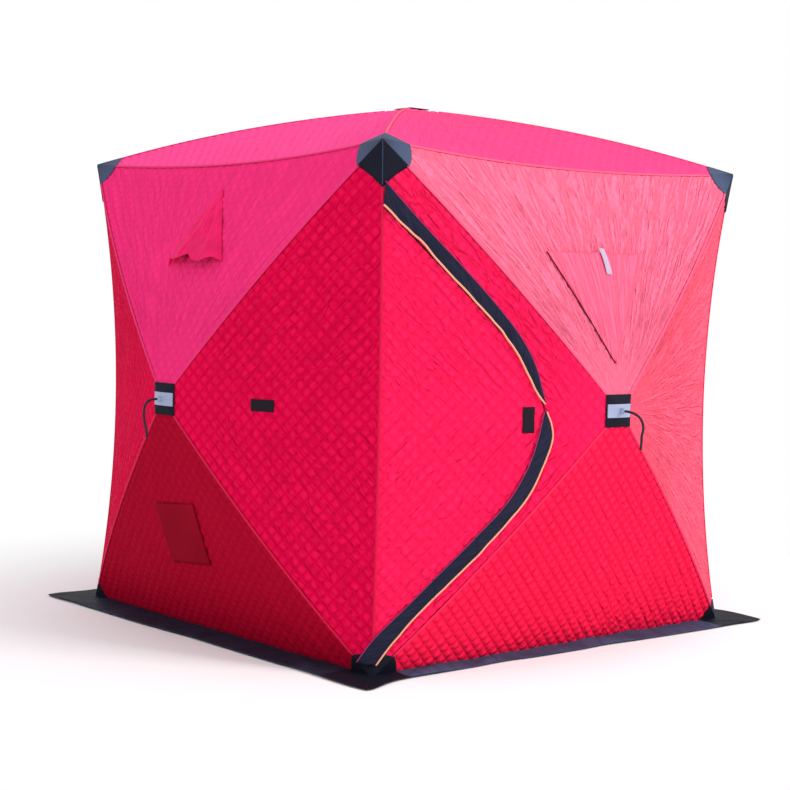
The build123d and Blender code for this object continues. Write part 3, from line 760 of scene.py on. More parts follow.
def bumped(shader, height, distance, strength=1.0, below=None):
    """A bump that feeds the shader's normal, over another bump where one is given."""
    bump = node(shader.id_data, "ShaderNodeBump", Strength=strength, Distance=distance, Height=height)
    if below:
        feed(bump.inputs["Normal"], below)
    feed(shader.inputs["Normal"], Value(bump.outputs[0]))
    return Value(bump.outputs[0])


def quilted_cloth(name, colour, pull, pitch, stitch, fan=True):
    """Coated quilted cloth: diamonds with sunk stitches, creases and slow fading, painted shade in the
    creases and beside the stitches, and painted highlights on the puffs.

    The creases fan out from the hub and fade towards it, or else run along the nearer pole seam.
    """
    tree, shader = surface(name, 0.65, Specular_IOR_Level=0.12, IOR=1.15, Specular_Tint=(1.0, 0.4, 0.6, 1))
    uv = cloth_uv(tree)
    first, second, _ = split(uv)
    reach = first + second
    stitches = placed(tree, STITCHES, Vector=uv, Pitch=SEAM / CELLS)
    fading = placed(tree, FADING, Size=0.6)
    if fan:
        opened = node(tree, "ShaderNodeCombineXYZ", X=second / reach * 1.8, Y=reach * 0.7)
        pulls = placed(tree, PULLS, Vector=Value(opened.outputs[0]), Pitch=pitch, Stretch=0.2)
        crease, fold = pulls["Crease"], pulls["Height"]
    else:
        nearer = kept((second - first) * 4.0 + 0.5)
        one, other = (placed(tree, PULLS, Vector=uv, Pitch=pitch, Stretch=0.3, Turn=turn)
                      for turn in (math.pi / 2, 0.0))
        crease, fold = (one[key] + nearer * (other[key] - one[key]) for key in ("Crease", "Height"))
    grown = least(reach * 2.4, 1.0)
    clear = kept(least(least(first, second), SEAM - reach) / 0.02)
    pale = toned(colour, 1.1, 0.003)
    shaded = tint(fading["Shade"], toned(colour, 0.9), pale)
    # Painted highlight on the tops of the puffs
    painted_puff_highlight = calc("POWER", stitches["Puff"], 3.0) * (0.7 * stitch)
    shaded = tint(painted_puff_highlight, shaded, toned(colour, 1.2, 0.02))
    # Painted shade in the creases and in the hollows beside the stitches
    lines = most(crease * grown * (0.5 * pull), stitches["Hollow"] * (0.8 * stitch)) * clear
    shaded = tint(lines, shaded, toned(colour, 0.5))
    feed(shader.inputs["Base Color"], tint(stitches["Thread"] * 0.5, shaded, pale))
    low = bumped(shader, placed(tree, WEAVE, Vector=uv)["Height"], 0.0002, 0.5)
    low = bumped(shader, stitches["Puff"], 0.01 * stitch, 0.9, low)
    bumped(shader, fold * (grown * clear), 0.008 * pull, 0.9, low)


def plain_cloth(name, colour, roughness=0.7, pull=0.3, turn=0.0, pitch=0.05, weave=0.0022, shine=0.3,
                corner=None):
    """Unquilted cloth: plain weave, a few pull lines with painted shade in their creases, slow fading, and
    maybe doubled cloth at the corners.
    """
    tree, shader = surface(name, roughness, Specular_IOR_Level=shine)
    uv = cloth_uv(tree)
    pulls = placed(tree, PULLS, Vector=uv, Pitch=pitch, Turn=turn, Stretch=0.25)
    fading = placed(tree, FADING, Size=0.25)
    pale = toned(colour, 1.35, 0.004)
    shaded = tint(fading["Shade"], toned(colour, 0.7), pale)
    shaded = tint(fading["Speck"] * 0.3, shaded, pale)
    # Painted shade in the creases of the pull lines
    shaded = tint(pulls["Crease"] * (0.5 * pull), shaded, toned(colour, 0.4))
    low = bumped(shader, placed(tree, WEAVE, Vector=uv, Pitch=weave)["Height"], 0.0004, 0.7)
    low = bumped(shader, pulls["Height"], 0.003 * pull, 0.8, low)
    if corner:
        x, y, _ = split(object_place(tree))
        doubled = kept((least(calc("ABSOLUTE", x), calc("ABSOLUTE", y)) - 0.800) * 500.0)
        shaded = tint(doubled, shaded, corner)
        bumped(shader, doubled, 0.002, 1.0, low)
    feed(shader.inputs["Base Color"], shaded)


def ridged_tape(name, colour, pitch, roughness=0.6, across=1):
    """Woven tape with ribs at a pitch, on a UV map in metres, with painted light on the ribs' crests and
    painted shade between them.
    """
    tree, shader = surface(name, roughness, Specular_IOR_Level=0.15)
    wave = calc("SINE", split(cloth_uv(tree))[across] * (2 * math.pi / pitch))
    speck = placed(tree, FADING, Size=0.1)["Speck"]
    # Painted light on the crests of the ribs and painted shade between them
    shaded = tint(wave * 0.3 + 0.5, toned(colour, 0.7), toned(colour, 1.25))
    feed(shader.inputs["Base Color"], tint(speck * 0.3, shaded, toned(colour, 0.6)))
    bumped(shader, wave, pitch * 0.15, 0.8)


def moulded(name, colour, roughness, metallic=0.0):
    """Moulded plastic or plated metal with a faint grain, in Object coordinates."""
    tree, shader = surface(name, roughness, Metallic=metallic)
    fading = placed(tree, FADING, Size=0.05)
    feed(shader.inputs["Base Color"], tint(fading["Shade"] * 0.3, colour, toned(colour, 0.5)))
    bumped(shader, fading["Speck"], 0.0001, 0.4)


def netting(name, colour):
    """Fine black netting: square holes between threads, by alpha, in Object coordinates."""
    tree, shader = surface(name, 0.7)
    shader.inputs["Base Color"].default_value = (*colour, 1)
    threads = [calc("LESS_THAN", calc("FRACT", part / 0.004), 0.45) for part in split(object_place(tree))[1:]]
    feed(shader.inputs["Alpha"], most(*threads))


def clear_film(name):
    """Clear window film: thin, smooth, slightly milky."""
    tree, shader = surface(name, 0.12, Transmission_Weight=0.75, IOR=1.45, Alpha=0.55)
    shade = placed(tree, FADING, Size=0.2)["Shade"]
    feed(shader.inputs["Base Color"], tint(shade, (0.75, 0.8, 0.84), (0.9, 0.93, 0.95)))


def strap_cord(name):
    """Braided black cord: fine noise in Object coordinates."""
    tree, shader = surface(name, 0.7, Specular_IOR_Level=0.15)
    braid = noise(object_place(tree), 260.0, 1.0)
    feed(shader.inputs["Base Color"], tint(braid, (0.008, 0.008, 0.012), (0.035, 0.035, 0.05)))
    bumped(shader, braid, 0.0008, 0.8)


SIDE_RED = linear(242, 24, 80)
PATCH_BLACK = linear(12, 15, 30)
# Quilted cloth has the strength of its creases, their pitch and the strength of its stitches
# The colours differ by kind as painted light: roof and upper panels paler with painted sky light, lower
# panels darker with painted shade, and the copies named shaded carry painted shade
quilted_cloth("roof_cloth", linear(252, 66, 124), 0.35, 0.05, 0.16)
quilted_cloth("roof_cloth_shaded", linear(250, 72, 142), 0.35, 0.05, 0.16)
quilted_cloth("top_cloth", linear(250, 107, 138), 1.25, 0.036, 0.2)
quilted_cloth("top_cloth_shaded", linear(240, 46, 118), 0.5, 0.04, 0.2)
quilted_cloth("side_cloth", SIDE_RED, 0.8, 0.032, 0.32, fan=False)
# Side cloth of the front wall, paler with painted light
quilted_cloth("side_cloth_pale", linear(252, 88, 115), 1.1, 0.036, 0.2)
quilted_cloth("side_cloth_shaded", linear(214, 0, 64), 0.75, 0.034, 0.36, fan=False)
quilted_cloth("bottom_cloth", linear(244, 22, 70), 0.6, 0.034, 0.6, fan=False)
quilted_cloth("bottom_cloth_shaded", linear(164, 0, 38), 0.3, 0.04, 0.16)
quilted_cloth("door_surround_cloth", SIDE_RED, 1.2, 0.036, 0.3, fan=False)
quilted_cloth("window_flap_cloth", linear(250, 98, 130), 0.9, 0.045, 0.02)
quilted_cloth("window_flap_cloth_shaded", linear(236, 42, 110), 0.9, 0.045, 0.02)
# Plain cloth has its roughness, and the strength, turn and pitch of its pull lines
plain_cloth("storm_flap_cloth", linear(25, 27, 48), 0.7, 0.8, 0.8, 0.03, weave=0.0035, shine=0.1)
plain_cloth("skirt_cloth", linear(58, 66, 94), 0.6, 0.8, 0.3, 0.09, shine=0.12, corner=PATCH_BLACK)
plain_cloth("skirt_cloth_shaded", linear(26, 30, 50), 0.6, 0.8, 0.3, 0.09, shine=0.12, corner=PATCH_BLACK)
plain_cloth("reinforcing_cloth", PATCH_BLACK, 0.6, 0.3, 0.4, 0.04, shine=0.1)
# Sewn patches and vent hoods: the first colour for the left wall with painted shade, the lit copy for the
# right wall with painted light
plain_cloth("sewn_patch_cloth", linear(134, 0, 28), 0.8, pull=0.1, shine=0.03)
plain_cloth("sewn_patch_cloth_lit", linear(206, 6, 50), 0.8, pull=0.1, shine=0.03)
plain_cloth("hood_cloth", linear(244, 14, 98), 0.6, 0.6, 0.2, 0.05, shine=0.15)
plain_cloth("hood_cloth_lit", linear(250, 84, 124), 0.6, 0.6, 0.2, 0.05, shine=0.15)
# Tape has the pitch of its ribs and its roughness, and the ribs run across its UV map's x for 0
ridged_tape("ridged_cap_cloth", linear(70, 82, 112), 0.012)
# Welts take the tones of the panels they join: upper paler with painted sky light, lower darker with painted
# shade, and the shaded copies with painted shade
ridged_tape("upper_seam_welt", linear(252, 90, 128), 0.004, 0.6, 0)
ridged_tape("lower_seam_welt", linear(246, 32, 84), 0.004, 0.6, 0)
ridged_tape("upper_seam_welt_shaded", linear(238, 46, 114), 0.004, 0.6, 0)
ridged_tape("lower_seam_welt_shaded", linear(214, 10, 68), 0.004, 0.6, 0)
# Sewing along the flap's sewn edge, paler than the flap as a painted highlight
ridged_tape("flap_sewing", linear(150, 44, 96), 0.004, 0.6, 0)
ridged_tape("piping", linear(255, 168, 138), 0.005, 0.5, 0)
ridged_tape("hook_tape", linear(30, 22, 32), 0.003, 0.8)
ridged_tape("toggle_tape", linear(190, 170, 196), 0.004)
ridged_tape("zip_teeth", linear(92, 4, 34), 0.0035, 0.6, 0)
moulded("hub_plate_plastic", linear(150, 160, 190), 0.38)
moulded("hub_plastic", linear(40, 40, 46), 0.5)
moulded("pole_lacquer", linear(52, 52, 58), 0.25)
moulded("eyelet_metal", linear(196, 198, 205), 0.3, 1.0)
netting("vent_netting", linear(40, 40, 46))
clear_film("window_film")
strap_cord("strap_cord")


# Pieces, and tables of their cloth
def make_piece(name, materials, points, faces, uv, normals=None):
    """A smooth mesh object from points, faces and one UV pair, and maybe a normal, for each point.

    Where there are two materials, the last half of its faces has the second.
    """
    mesh = bpy.data.meshes.new(name)
    points = np.stack([points[:, 0], points[:, 1], np.maximum(points[:, 2], FLOOR_CLEAR)], 1)
    mesh.from_pydata(points.tolist(), [], faces)
    mesh.polygons.foreach_set("use_smooth", np.ones(len(mesh.polygons), bool))
    corner = np.empty(len(mesh.loops), int)
    mesh.loops.foreach_get("vertex_index", corner)
    layer = mesh.uv_layers.new(name="cloth")
    layer.data.foreach_set("uv", np.asarray(uv, np.float32)[corner].ravel())
    for material in materials:
        mesh.materials.append(MATERIALS[material])
    if len(materials) == 2:
        mesh.polygons.foreach_set("material_index", np.arange(len(faces)) * 2 // len(faces))
    mesh.update()
    if normals is not None:
        mesh.normals_split_custom_set_from_vertices(normals.tolist())
    piece = bpy.data.objects.new(name, mesh)
    bpy.context.collection.objects.link(piece)
    return piece


def hang(name, mesh, materials, slot, nodes=(), sheet=None, body="shell"):
    """Makes a piece that rides on a body, or that stays where it lies when it is given a turn, and that hides
    the nodes it takes the place of.

    A turn is given as its two bodies and the x where it starts and ends.
    """
    piece = make_piece(name, [materials] if isinstance(materials, str) else materials, *mesh)
    if isinstance(body, str):
        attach(piece, body)
    else:
        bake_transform(piece)
    if nodes:
        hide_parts(*nodes)


def cloth_of(flat, held, rests_on, **area):
    """A cloth's flat size, how it is held, what it rests on, and maybe its area, as a table."""
    return {"flat": flat, "held": held, "rests_on": rests_on, **area}


# Panels of every wall
def panel_material(kind, side):
    """Panels of the left and back walls get copies of their cloth with painted shade, the front wall's side
    panel a copy with painted light, and the rest of the front and right walls the plain cloth.
    """
    if kind == "side" and side == "front":
        return "side_cloth_pale"
    return kind + ("_cloth_shaded" if side in SHADED_SIDES else "_cloth")


def whole_panel(kind, seed, hole):
    """One quilted panel, with a hole where an outline is given."""
    keep = None if hole is None else (lambda x, z: distance_to(hole, x, z))
    return quilted(NETS[kind], seed, FOLD_STRENGTH[kind], keep)


def hang_panels():
    """The roof, the upper, lower and side panels of the four walls, without the door's panel."""
    for number, side in enumerate(SIDE_TURN):
        hole = window_triangle(WINDOW["hem"]) if side in WINDOW_SIDES else vent_triangle()
        rows = [("roof", ["roof"], "roof_" + side), ("top", ["top"], side + "_top_panel"),
                ("bottom", ["bottom"], side + "_bottom_panel")]
        if side == "front":
            rows.append(("side", ["right_side"], "front_side_panel"))
        else:
            rows.append(("side", ["left_side", "right_side"], side + "_side_panels"))
        for row, (kind, nets, node_name) in enumerate(rows):
            seed = WALL_SEEDS * number + PANEL_SEED + 3 * row
            parts = [whole_panel(net, seed + place, hole if kind == "top" else None)
                     for place, net in enumerate(nets)]
            (width, length), area = flat_size(NETS[nets[-1]])
            count = len(parts)
            sheet = cloth_of((width, length * count), "stretched", [side + "_poles"], area=area * count)
            hang(node_name + "_cloth", on_walls(parts, [side]), panel_material(kind, side), kind + "_fabric",
                 [node_name], sheet)


# The door's cloth along x: the label, start and end of each stretch, and the body it rides on or the
# turn given for it.
STRETCHES = (("corner", -EVERYWHERE, FOLD_MIDDLE,
              ("shell", "door_fold", FOLD_START, FOLD_MIDDLE - FOLD_REST / 2)),
             ("turn", FOLD_MIDDLE, FOLD_END,
              ("door_fold", "door", FOLD_MIDDLE + FOLD_REST / 2, FOLD_END - FOLD_REST / 2)),
             ("leaf", FOLD_END, EVERYWHERE, "door"))


def hang_in_stretches(name, builder, material, slot, nodes, rests, width=None):
    """Hangs a piece of the door in three stretches along x: two at the corner, which stay where they lie, and
    the rest.
    """
    for label, low, high, body in STRETCHES:
        mesh = builder(low, high)
        if len(mesh[0]) == 0:
            continue
        sheet = None
        if rests:
            area = sheet_area(*mesh[:2])
            size = np.ptp(mesh[0], axis=0)
            across = width or float(np.hypot(size[0], size[1]))
            long = float(max(size[2], area / across)) if width is None else area / across
            sheet = cloth_of((across, long), "stretched", rests, area=min(area, across * long))
        hang(f"{name}_{label}", mesh, material, slot, nodes.get(label), sheet, body)


def hang_door():
    """The door's panel: what stays round it, and the door itself in its three stretches."""
    net, strength = NETS["left_side"], FOLD_STRENGTH["left_side"]
    inside, around = door_outline(0), door_outline(ZIP_GAP)
    part = quilted(net, DOOR_SEED, strength, lambda x, z: distance_to(around, x, z))
    hang("door_surround_cloth", on_walls([part], ["front"]), "door_surround_cloth", "side_fabric",
         ["door_surround_upper", "door_surround_lower"],
         cloth_of(FLAT["surround"], "stretched", ["front_poles"],
                  area=min(sheet_area(*part[:2]), MOST_AREA["surround"])))

    def stretch(low, high):
        return quilted(net, DOOR_SEED, strength, lambda x, z: -distance_to(inside, x, z), low, high)

    hang_in_stretches("door_cloth", stretch, "side_cloth", "side_fabric",
                      {"corner": ["door_hem"], "leaf": ["door_leaf"]}, ["front_poles"])


# Storm flaps: their sewn and free edges from the corner to the tip, how much the free edge wavers and
# its seed, their lift off the panel, the height of their folds and its seed, and their piping's width
FLAP_POINTS = 150
FLAP_ARCH = 0.003
FLAPS = {
    "upper": ([(-0.882, 1.652), (-0.797, 1.559), (-0.711, 1.470), (-0.567, 1.327), (-0.446, 1.199),
               (-0.379, 1.113), (-0.336, 1.035), (-0.310, 0.958), (-0.298, 0.922)],
              [(-0.878, 1.574), (-0.816, 1.514), (-0.756, 1.462), (-0.719, 1.420), (-0.687, 1.386),
               (-0.595, 1.292), (-0.482, 1.177), (-0.412, 1.092), (-0.361, 1.006), (-0.327, 0.950),
               (-0.299, 0.918)], 0.0025, 7, 0.0070, 0.0030, 3, 0.0075),
    "lower": ([(-0.938, 0.062), (-0.882, 0.137), (-0.784, 0.236), (-0.673, 0.347), (-0.558, 0.459),
               (-0.436, 0.584), (-0.359, 0.705), (-0.323, 0.803), (-0.307, 0.872), (-0.302, 0.890)],
              [(-0.884, 0.050), (-0.845, 0.103), (-0.755, 0.208), (-0.633, 0.326), (-0.505, 0.450),
               (-0.380, 0.583), (-0.309, 0.698), (-0.274, 0.790), (-0.276, 0.846), (-0.294, 0.890)],
              0.0015, 11, 0.0086, 0.0015, 5, 0.0065)}


def smooth_line(places, count):
    """A curve through places (Catmull and Rom's cubic), dealt out at even steps."""
    ends = np.concatenate([[2 * places[0] - places[1]], places, [2 * places[-1] - places[-2]]])
    t = np.linspace(0, len(places) - 1, 400)
    k = np.minimum(t.astype(int), len(places) - 2)
    s = (t - k)[:, None]
    a, b, c, d = (ends[k + step] for step in range(4))
    line = 0.5 * (2 * b + (c - a) * s + (2 * a - 5 * b + 4 * c - d) * s ** 2
                  + (3 * b - a - 3 * c + d) * s ** 3)
    return evenly(line, count)


def wavy_line(line, size, seed):
    """A line of x and z, dealt out evenly and stirred a little square to itself."""
    points, run = evenly(line, FLAP_POINTS), np.linspace(0, 1, FLAP_POINTS)
    way = unit(np.gradient(points, axis=0))
    stir = smooth_noise(run * 11, run * 0 + 0.5, seed) * size * held(np.minimum(run, 1 - run) * 12)
    return points + np.stack([-way[:, 1], way[:, 0]], 1) * stir[:, None]


def storm_flap(sewn, free, wavering, free_seed, lift, wave, wave_seed, piping):
    """Builders of a storm flap's cloth, piping and sewing between two places along x.

    The cloth is a band between its two edges, laid on the panel and arched over its middle.
    """
    free = wavy_line(smooth_line(np.array(free), FLAP_POINTS), wavering, free_seed)
    a, b = evenly(smooth_line(np.array(sewn), FLAP_POINTS), FLAP_POINTS), evenly(free, FLAP_POINTS)
    run, share = crossed((0, 1, FLAP_POINTS), (0, 1, 9))
    flat = between(a[:, None], b[:, None], share[..., None])
    stir = smooth_noise(run * 26, share * 2, wave_seed) * wave
    height = lift + FLAP_ARCH * np.sin(share * math.pi) + stir * share
    grid = on_panel(NETS["left_side"], flat[..., 0], flat[..., 1], height)
    uv = np.stack([run * run_of(a)[-1], share * np.linalg.norm(b - a, axis=1).max()], -1)
    out = normals_away(grid[:, -1])

    def trim(column, rise, width, height, sides):
        path = grid[:, column] + out * rise

        def part(low, high):
            inside = (path[:, 0] > low - 0.005) & (path[:, 0] < high + 0.005)
            return tube(path[inside], width, height, out[inside], sides)
        return part

    return {"cloth": lambda low, high: sewn_sheet(grid, FLAP_THICK, uv, low, high),
            "piping": trim(-1, PIPING_RISE, piping, piping, 10), "sewing": trim(0, *SEWING, 6)}


def hang_flaps():
    """Storm flaps over the zip with piping on their free edges, and the zip itself."""
    materials = {"cloth": "storm_flap_cloth", "piping": "piping", "sewing": "flap_sewing"}
    for part, builder in storm_flap(*FLAPS["upper"]).items():
        cloth = part == "cloth"
        hang("storm_flap_upper_" + part, builder(-EVERYWHERE, EVERYWHERE), materials[part], "flap_fabric",
             ["storm_flap_upper"] if cloth else (),
             cloth_of(FLAT["flap"], "hung", ["door_surround_upper"]) if cloth else None)
    for part, builder in storm_flap(*FLAPS["lower"]).items():
        cloth = part == "cloth"
        hang_in_stretches("storm_flap_lower_" + part, builder, materials[part], "flap_fabric",
                          {"leaf": ["storm_flap_lower"]} if cloth else {},
                          ["door_leaf"] if cloth else [], FLAP_W)
    line = evenly(door_line(ZIP_GAP * 0.75, 0.004), 260)
    hang("zip_teeth_wall", tube_on(NETS["left_side"], line, *DOOR_ZIP), "zip_teeth", "tab_fabric")


# Welts: upper or lower, the panel, its seam 0 or 1 or its far edge, lift, and the stretch that shows
WELTS = (("upper", "top", 0, 0.0012, 0.0, 0.915), ("upper", "top", 1, 0.0012, 0.0, 0.915),
         ("upper", "top", None, 0.0010, 0.062, 0.938), ("upper", "roof", 0, 0.0010, 0.04, 0.93),
         ("lower", "bottom", 0, 0.0012, 0.0, 0.93), ("lower", "bottom", 1, 0.0012, 0.0, 0.93),
         ("lower", "right_side", None, 0.0006, 0.08, 0.96))
WELT_WIDTH, WELT_HEIGHT = 0.011, 0.0052


def part_of(curve, start, stop):
    """The stretch of a curve between two shares of its length."""
    line = evenly(curve, 240)
    return line[int(start * 239):int(stop * 239) + 1:4]


def sew_welts():
    """Raised stitched seams along every pole, corner and eave, which stop short of the sewn caps."""
    for side in SIDE_TURN:
        for level in ("upper", "lower"):
            paths = [part_of(edge_of(*row[1:4]), *row[4:]) for row in WELTS if row[0] == level]
            parts = [tube(path, WELT_WIDTH, WELT_HEIGHT, normals_away(path), 8) for path in paths]
            hang(f"seam_welts_{level}_{side}", on_walls(parts, [side]),
                 level + "_seam_welt" + ("_shaded" if side in SHADED_SIDES else ""), "side_fabric")


# Caps and patches
def corner_fan(curves, reach, bulge, lift):
    """A sewn cap over a corner, between seams that leave it: rows run out from the corner.

    Each sector's rim bulges between its two seams by a sine, so that its outline is round.
    """
    out, turn = crossed((0, 1, 14), (0, 1, 16))
    sectors = []
    for k, swell in enumerate(bulge):
        rim = between(reach[k], reach[k + 1], turn) * (1 + swell * np.sin(turn * math.pi))
        a, b = (along_curve(curve, out * rim) for curve in curves[k:k + 2])
        grid = between(a, b, turn[..., None])
        grid = grid + normals_away(grid) * (lift + 0.0015 * (1 - out)[..., None])
        sectors.append(sewn_sheet(grid, CAP_THICK, np.stack([out * rim, turn * 0.12], -1)))
    return sectors


def round_corners(sectors):
    """Sectors of a corner with their mirror images on the other wall of it, at all four corners."""
    parts = []
    for points, faces, uv in sectors:
        parts += [(points, faces, uv), (points[:, [1, 0, 2]], [face[::-1] for face in faces], uv)]
    return on_walls(parts, SIDE_TURN)


def sew_caps():
    """Caps on the top corners, patches on the feet, and patches round the hubs."""
    corner, pole = edge_of("left_side", None), edge_of("top", 0)[::-1]
    seams = [edge_of("roof", 0)[::-1], edge_of("top", None), pole]
    wings = corner_fan(seams, *CAP_WINGS)
    fold = along_curve(corner, np.linspace(*CAP_FOLD, 24))
    fold = fold + normals_away(fold) * CAP_FOLD_LIFT
    wings.append(tube(fold, *CAP_FOLD_SIZE, normals_away(fold), 6))
    fronts = corner_fan([pole, corner], *CAP_FRONTS)
    seams = [edge_of("bottom", None), edge_of("bottom", 0)[::-1], corner[::-1]]
    feet = corner_fan(seams, *FEET)
    hubs = joined([on_walls([hub_cloth()], SIDE_TURN), roof_hub_cloth()])
    for name, mesh, material, nodes, width, rests in (
            ("top_corner_cap_wings", round_corners(wings), "ridged_cap_cloth", ["top_corner_caps"], 1.0,
             "corner_sockets"),
            ("top_corner_cap_fronts", round_corners(fronts), "reinforcing_cloth", [], 1.0, "corner_sockets"),
            ("bottom_corner_cloth", round_corners(feet), "reinforcing_cloth", ["bottom_corner_patches"], 1.0,
             "corner_sockets"),
            ("hub_patch_cloth", hubs, "reinforcing_cloth", ["hub_patches"], 0.5, "wall_hubs")):
        area = sheet_area(*mesh[:2])
        sheet = cloth_of((width, area * 1.1 / width), "stretched", [rests], area=area)
        hang(name, mesh, material, "reinforcement", nodes, sheet)


def hub_cloth():
    """A cloth rectangle over a wall hub, laid on the four panels round it and rounded at its peak."""
    half_x, half_z = HUB_CLOTH
    z, right = crossed((-half_z, half_z, 33), (-half_x, half_x, 37))
    z = z + HUB_Z
    up = z - HUB_Z
    kinds = ("top", "bottom", "left_side", "right_side")
    sheets = np.stack([on_panel(NETS[kind], right, z, HUB_CLOTH_LIFT) for kind in kinds])
    pick = np.where(np.abs(up) >= np.abs(right), np.where(up >= 0, 0, 1), np.where(right < 0, 2, 3))
    grid = np.take_along_axis(sheets, pick[None, ..., None], 0)[0]
    grid[..., 1] = np.maximum(grid[..., 1], -BASE_HALF - HUB_OUT - 0.0005 + 0.08 * np.hypot(right, up))
    rim = np.maximum(np.abs(right) / half_x, np.abs(up) / half_z)
    grid[..., 1] -= 0.0008 * (1 + np.cos((up + right) * 2 * math.pi / HUB_RIDGES)) * (rim > 0.3)
    return sewn_sheet(grid, TAB_THICK, np.stack([right, z], -1))


def roof_hub_cloth():
    """A cloth square over the roof hub, with a low pyramid."""
    y, x = crossed((-ROOF_CLOTH, ROOF_CLOTH, 21), (-ROOF_CLOTH, ROOF_CLOTH, 21))
    z = ROOF_HUB_Z + 0.001 - 0.13 * np.maximum(np.abs(x), np.abs(y))
    return sewn_sheet(np.stack([x, y, z], -1), TAB_THICK, np.stack([x, y], -1))


# Windows and vents
def flap_height(turn, down):
    """Soft folds of a window flap over its panel, which die out at its edges."""
    edge = held(np.minimum(turn, 1 - turn) * (1.02 - down) * 14)
    folds = 0.006 * (1 + smooth_noise(turn * 6 + down * 2, down * 1.8, FLAP_SEEDS[0]))
    return 0.0062 + edge * (folds + 0.003 * (1 + smooth_noise(turn * 3, down * 4, FLAP_SEEDS[1])))


def toggle_strap(net, left, right, point):
    """The strap over a window's upper edge, which leans to one side and follows the flap's folds."""
    z, x = crossed((TOGGLE["top"], TOGGLE["foot"], 14), (TOGGLE["left"], TOGGLE["right"], 7))
    fallen = TOGGLE["top"] - z
    place = x + fallen * TOGGLE["lean"]
    arch = np.sin(fallen / (TOGGLE["top"] - TOGGLE["foot"]) * math.pi) * 0.003
    down = held((left[1] - z) / (left[1] - point[1]))
    turn = (place - point[0]) / ((right[0] - left[0]) * (1 - down)) + 0.5
    return sewn_sheet(on_panel(net, place, z, flap_height(turn, down) + 0.004 + arch), 0.0018,
                      np.stack([x, z], -1))


def sew_windows():
    """Window flaps with a welt and a zip along their slanted edges, and their toggle straps."""
    net = NETS["top"]
    left, right, point = window_triangle(-0.002)
    down, turn = crossed((0, 0.985, 40), (0, 1, 60))
    start, stop = (between(place, point, down[..., None]) for place in (left, right))
    flat = between(start, stop, turn[..., None])
    grid = on_panel(net, flat[..., 0], flat[..., 1], flap_height(turn, down))
    flap = sewn_sheet(grid, TAB_THICK, quilt_uv(net, flat[..., 0], flat[..., 1]))
    line = evenly(np.array([left + (-0.004, 0.002), point + (-0.002, 0)]), 40)
    slide = tube_on(net, line, *WINDOW_ZIP)
    hems = []
    for ends, lift in zip(((left, right), (right + (0.001, 0), point + (0.004, 0))), HEM_LIFTS):
        line = evenly(np.array(ends), 40)
        points, faces, _ = tube_on(net, line, lift, *HEM_SIZE, 8)
        hems.append((points, faces, np.repeat(quilt_uv(net, line[:, 0], line[:, 1]), 8, 0)))
    area = min(sheet_area(*on_walls([flap], WINDOW_SIDES)[:2]), MOST_AREA["window"])
    hang("window_flap_cloth", on_walls([flap] + hems, WINDOW_SIDES),
         ["window_flap_cloth", "window_flap_cloth_shaded"], "top_fabric", ["window_flaps"],
         cloth_of(FLAT["window"], "stretched", ["front_top_panel"], area=area))
    strap = toggle_strap(net, left, right, point)
    hang("window_toggle_tape", on_walls([strap], WINDOW_SIDES), "toggle_tape", "tab_fabric",
         ["window_toggles"], cloth_of(FLAT["toggle"], "hung", ["front_top_panel"]))
    hang("window_zip_lines", on_walls([slide], WINDOW_SIDES), "zip_teeth", "tab_fabric")


def sew_hoods():
    """Vent hoods: rows run from the tip to the mouth, which is held out and hangs in soft waves."""
    down, turn = crossed((0.03, 1, 44), (-1, 1, 60))
    z = HOOD["top"] + (HOOD["base"] - HOOD["top"]) * down
    x = HOOD["middle"] + turn * down * HOOD["half"]
    crown = (1 - turn ** 2) ** 0.8 * down ** 1.1 * HOOD["out"] * 0.92
    waves = smooth_noise(turn * 5 + 9, down * 2.2, HOOD_SEEDS[0]) * 0.012 * down * (1 - turn ** 4)
    tucks = creases(turn * 7 + 3, down * 3.5, HOOD_SEEDS[1]) * 0.009 * held(down * 2)
    ragged = smooth_noise(turn * 4 + 2, down * 0, HOOD_SEEDS[2]) * 0.014 * down ** 4
    height = 0.004 + crown + waves * (1 - turn ** 2) + tucks * (1 - turn ** 2)
    grid = on_panel(NETS["top"], x, z + ragged, height)
    mesh = on_walls([sewn_sheet(grid, CAP_THICK, np.stack([x, z], -1))], VENT_SIDES)
    area = sheet_area(*mesh[:2])
    # The left hood gets cloth with painted shade, the right hood cloth with painted light
    hang("vent_hood_cloth", mesh, ["hood_cloth", "hood_cloth_lit"], "top_fabric", ["vent_hoods"],
         cloth_of((FLAT["hood"], area / FLAT["hood"] * 1.5), "gathered", ["left_top_panel"], area=area))


def block_on(kind, place, size, lift, thickness, turn=0.0, count=12):
    """A flat sewn rectangle laid on a panel, turned about its middle."""
    b, a = crossed((-0.5, 0.5, count), (-0.5, 0.5, count))
    c, s = math.cos(turn), math.sin(turn)
    across, up = a * size[0], b * size[1]
    lie = lift - 0.0012 * held(np.maximum(np.abs(a), np.abs(b)) * 2 - 0.8) * 5
    grid = on_panel(NETS[kind], place[0] + across * c - up * s, place[1] + across * s + up * c, lie)
    return sewn_sheet(grid, thickness, np.stack([across, up], -1))


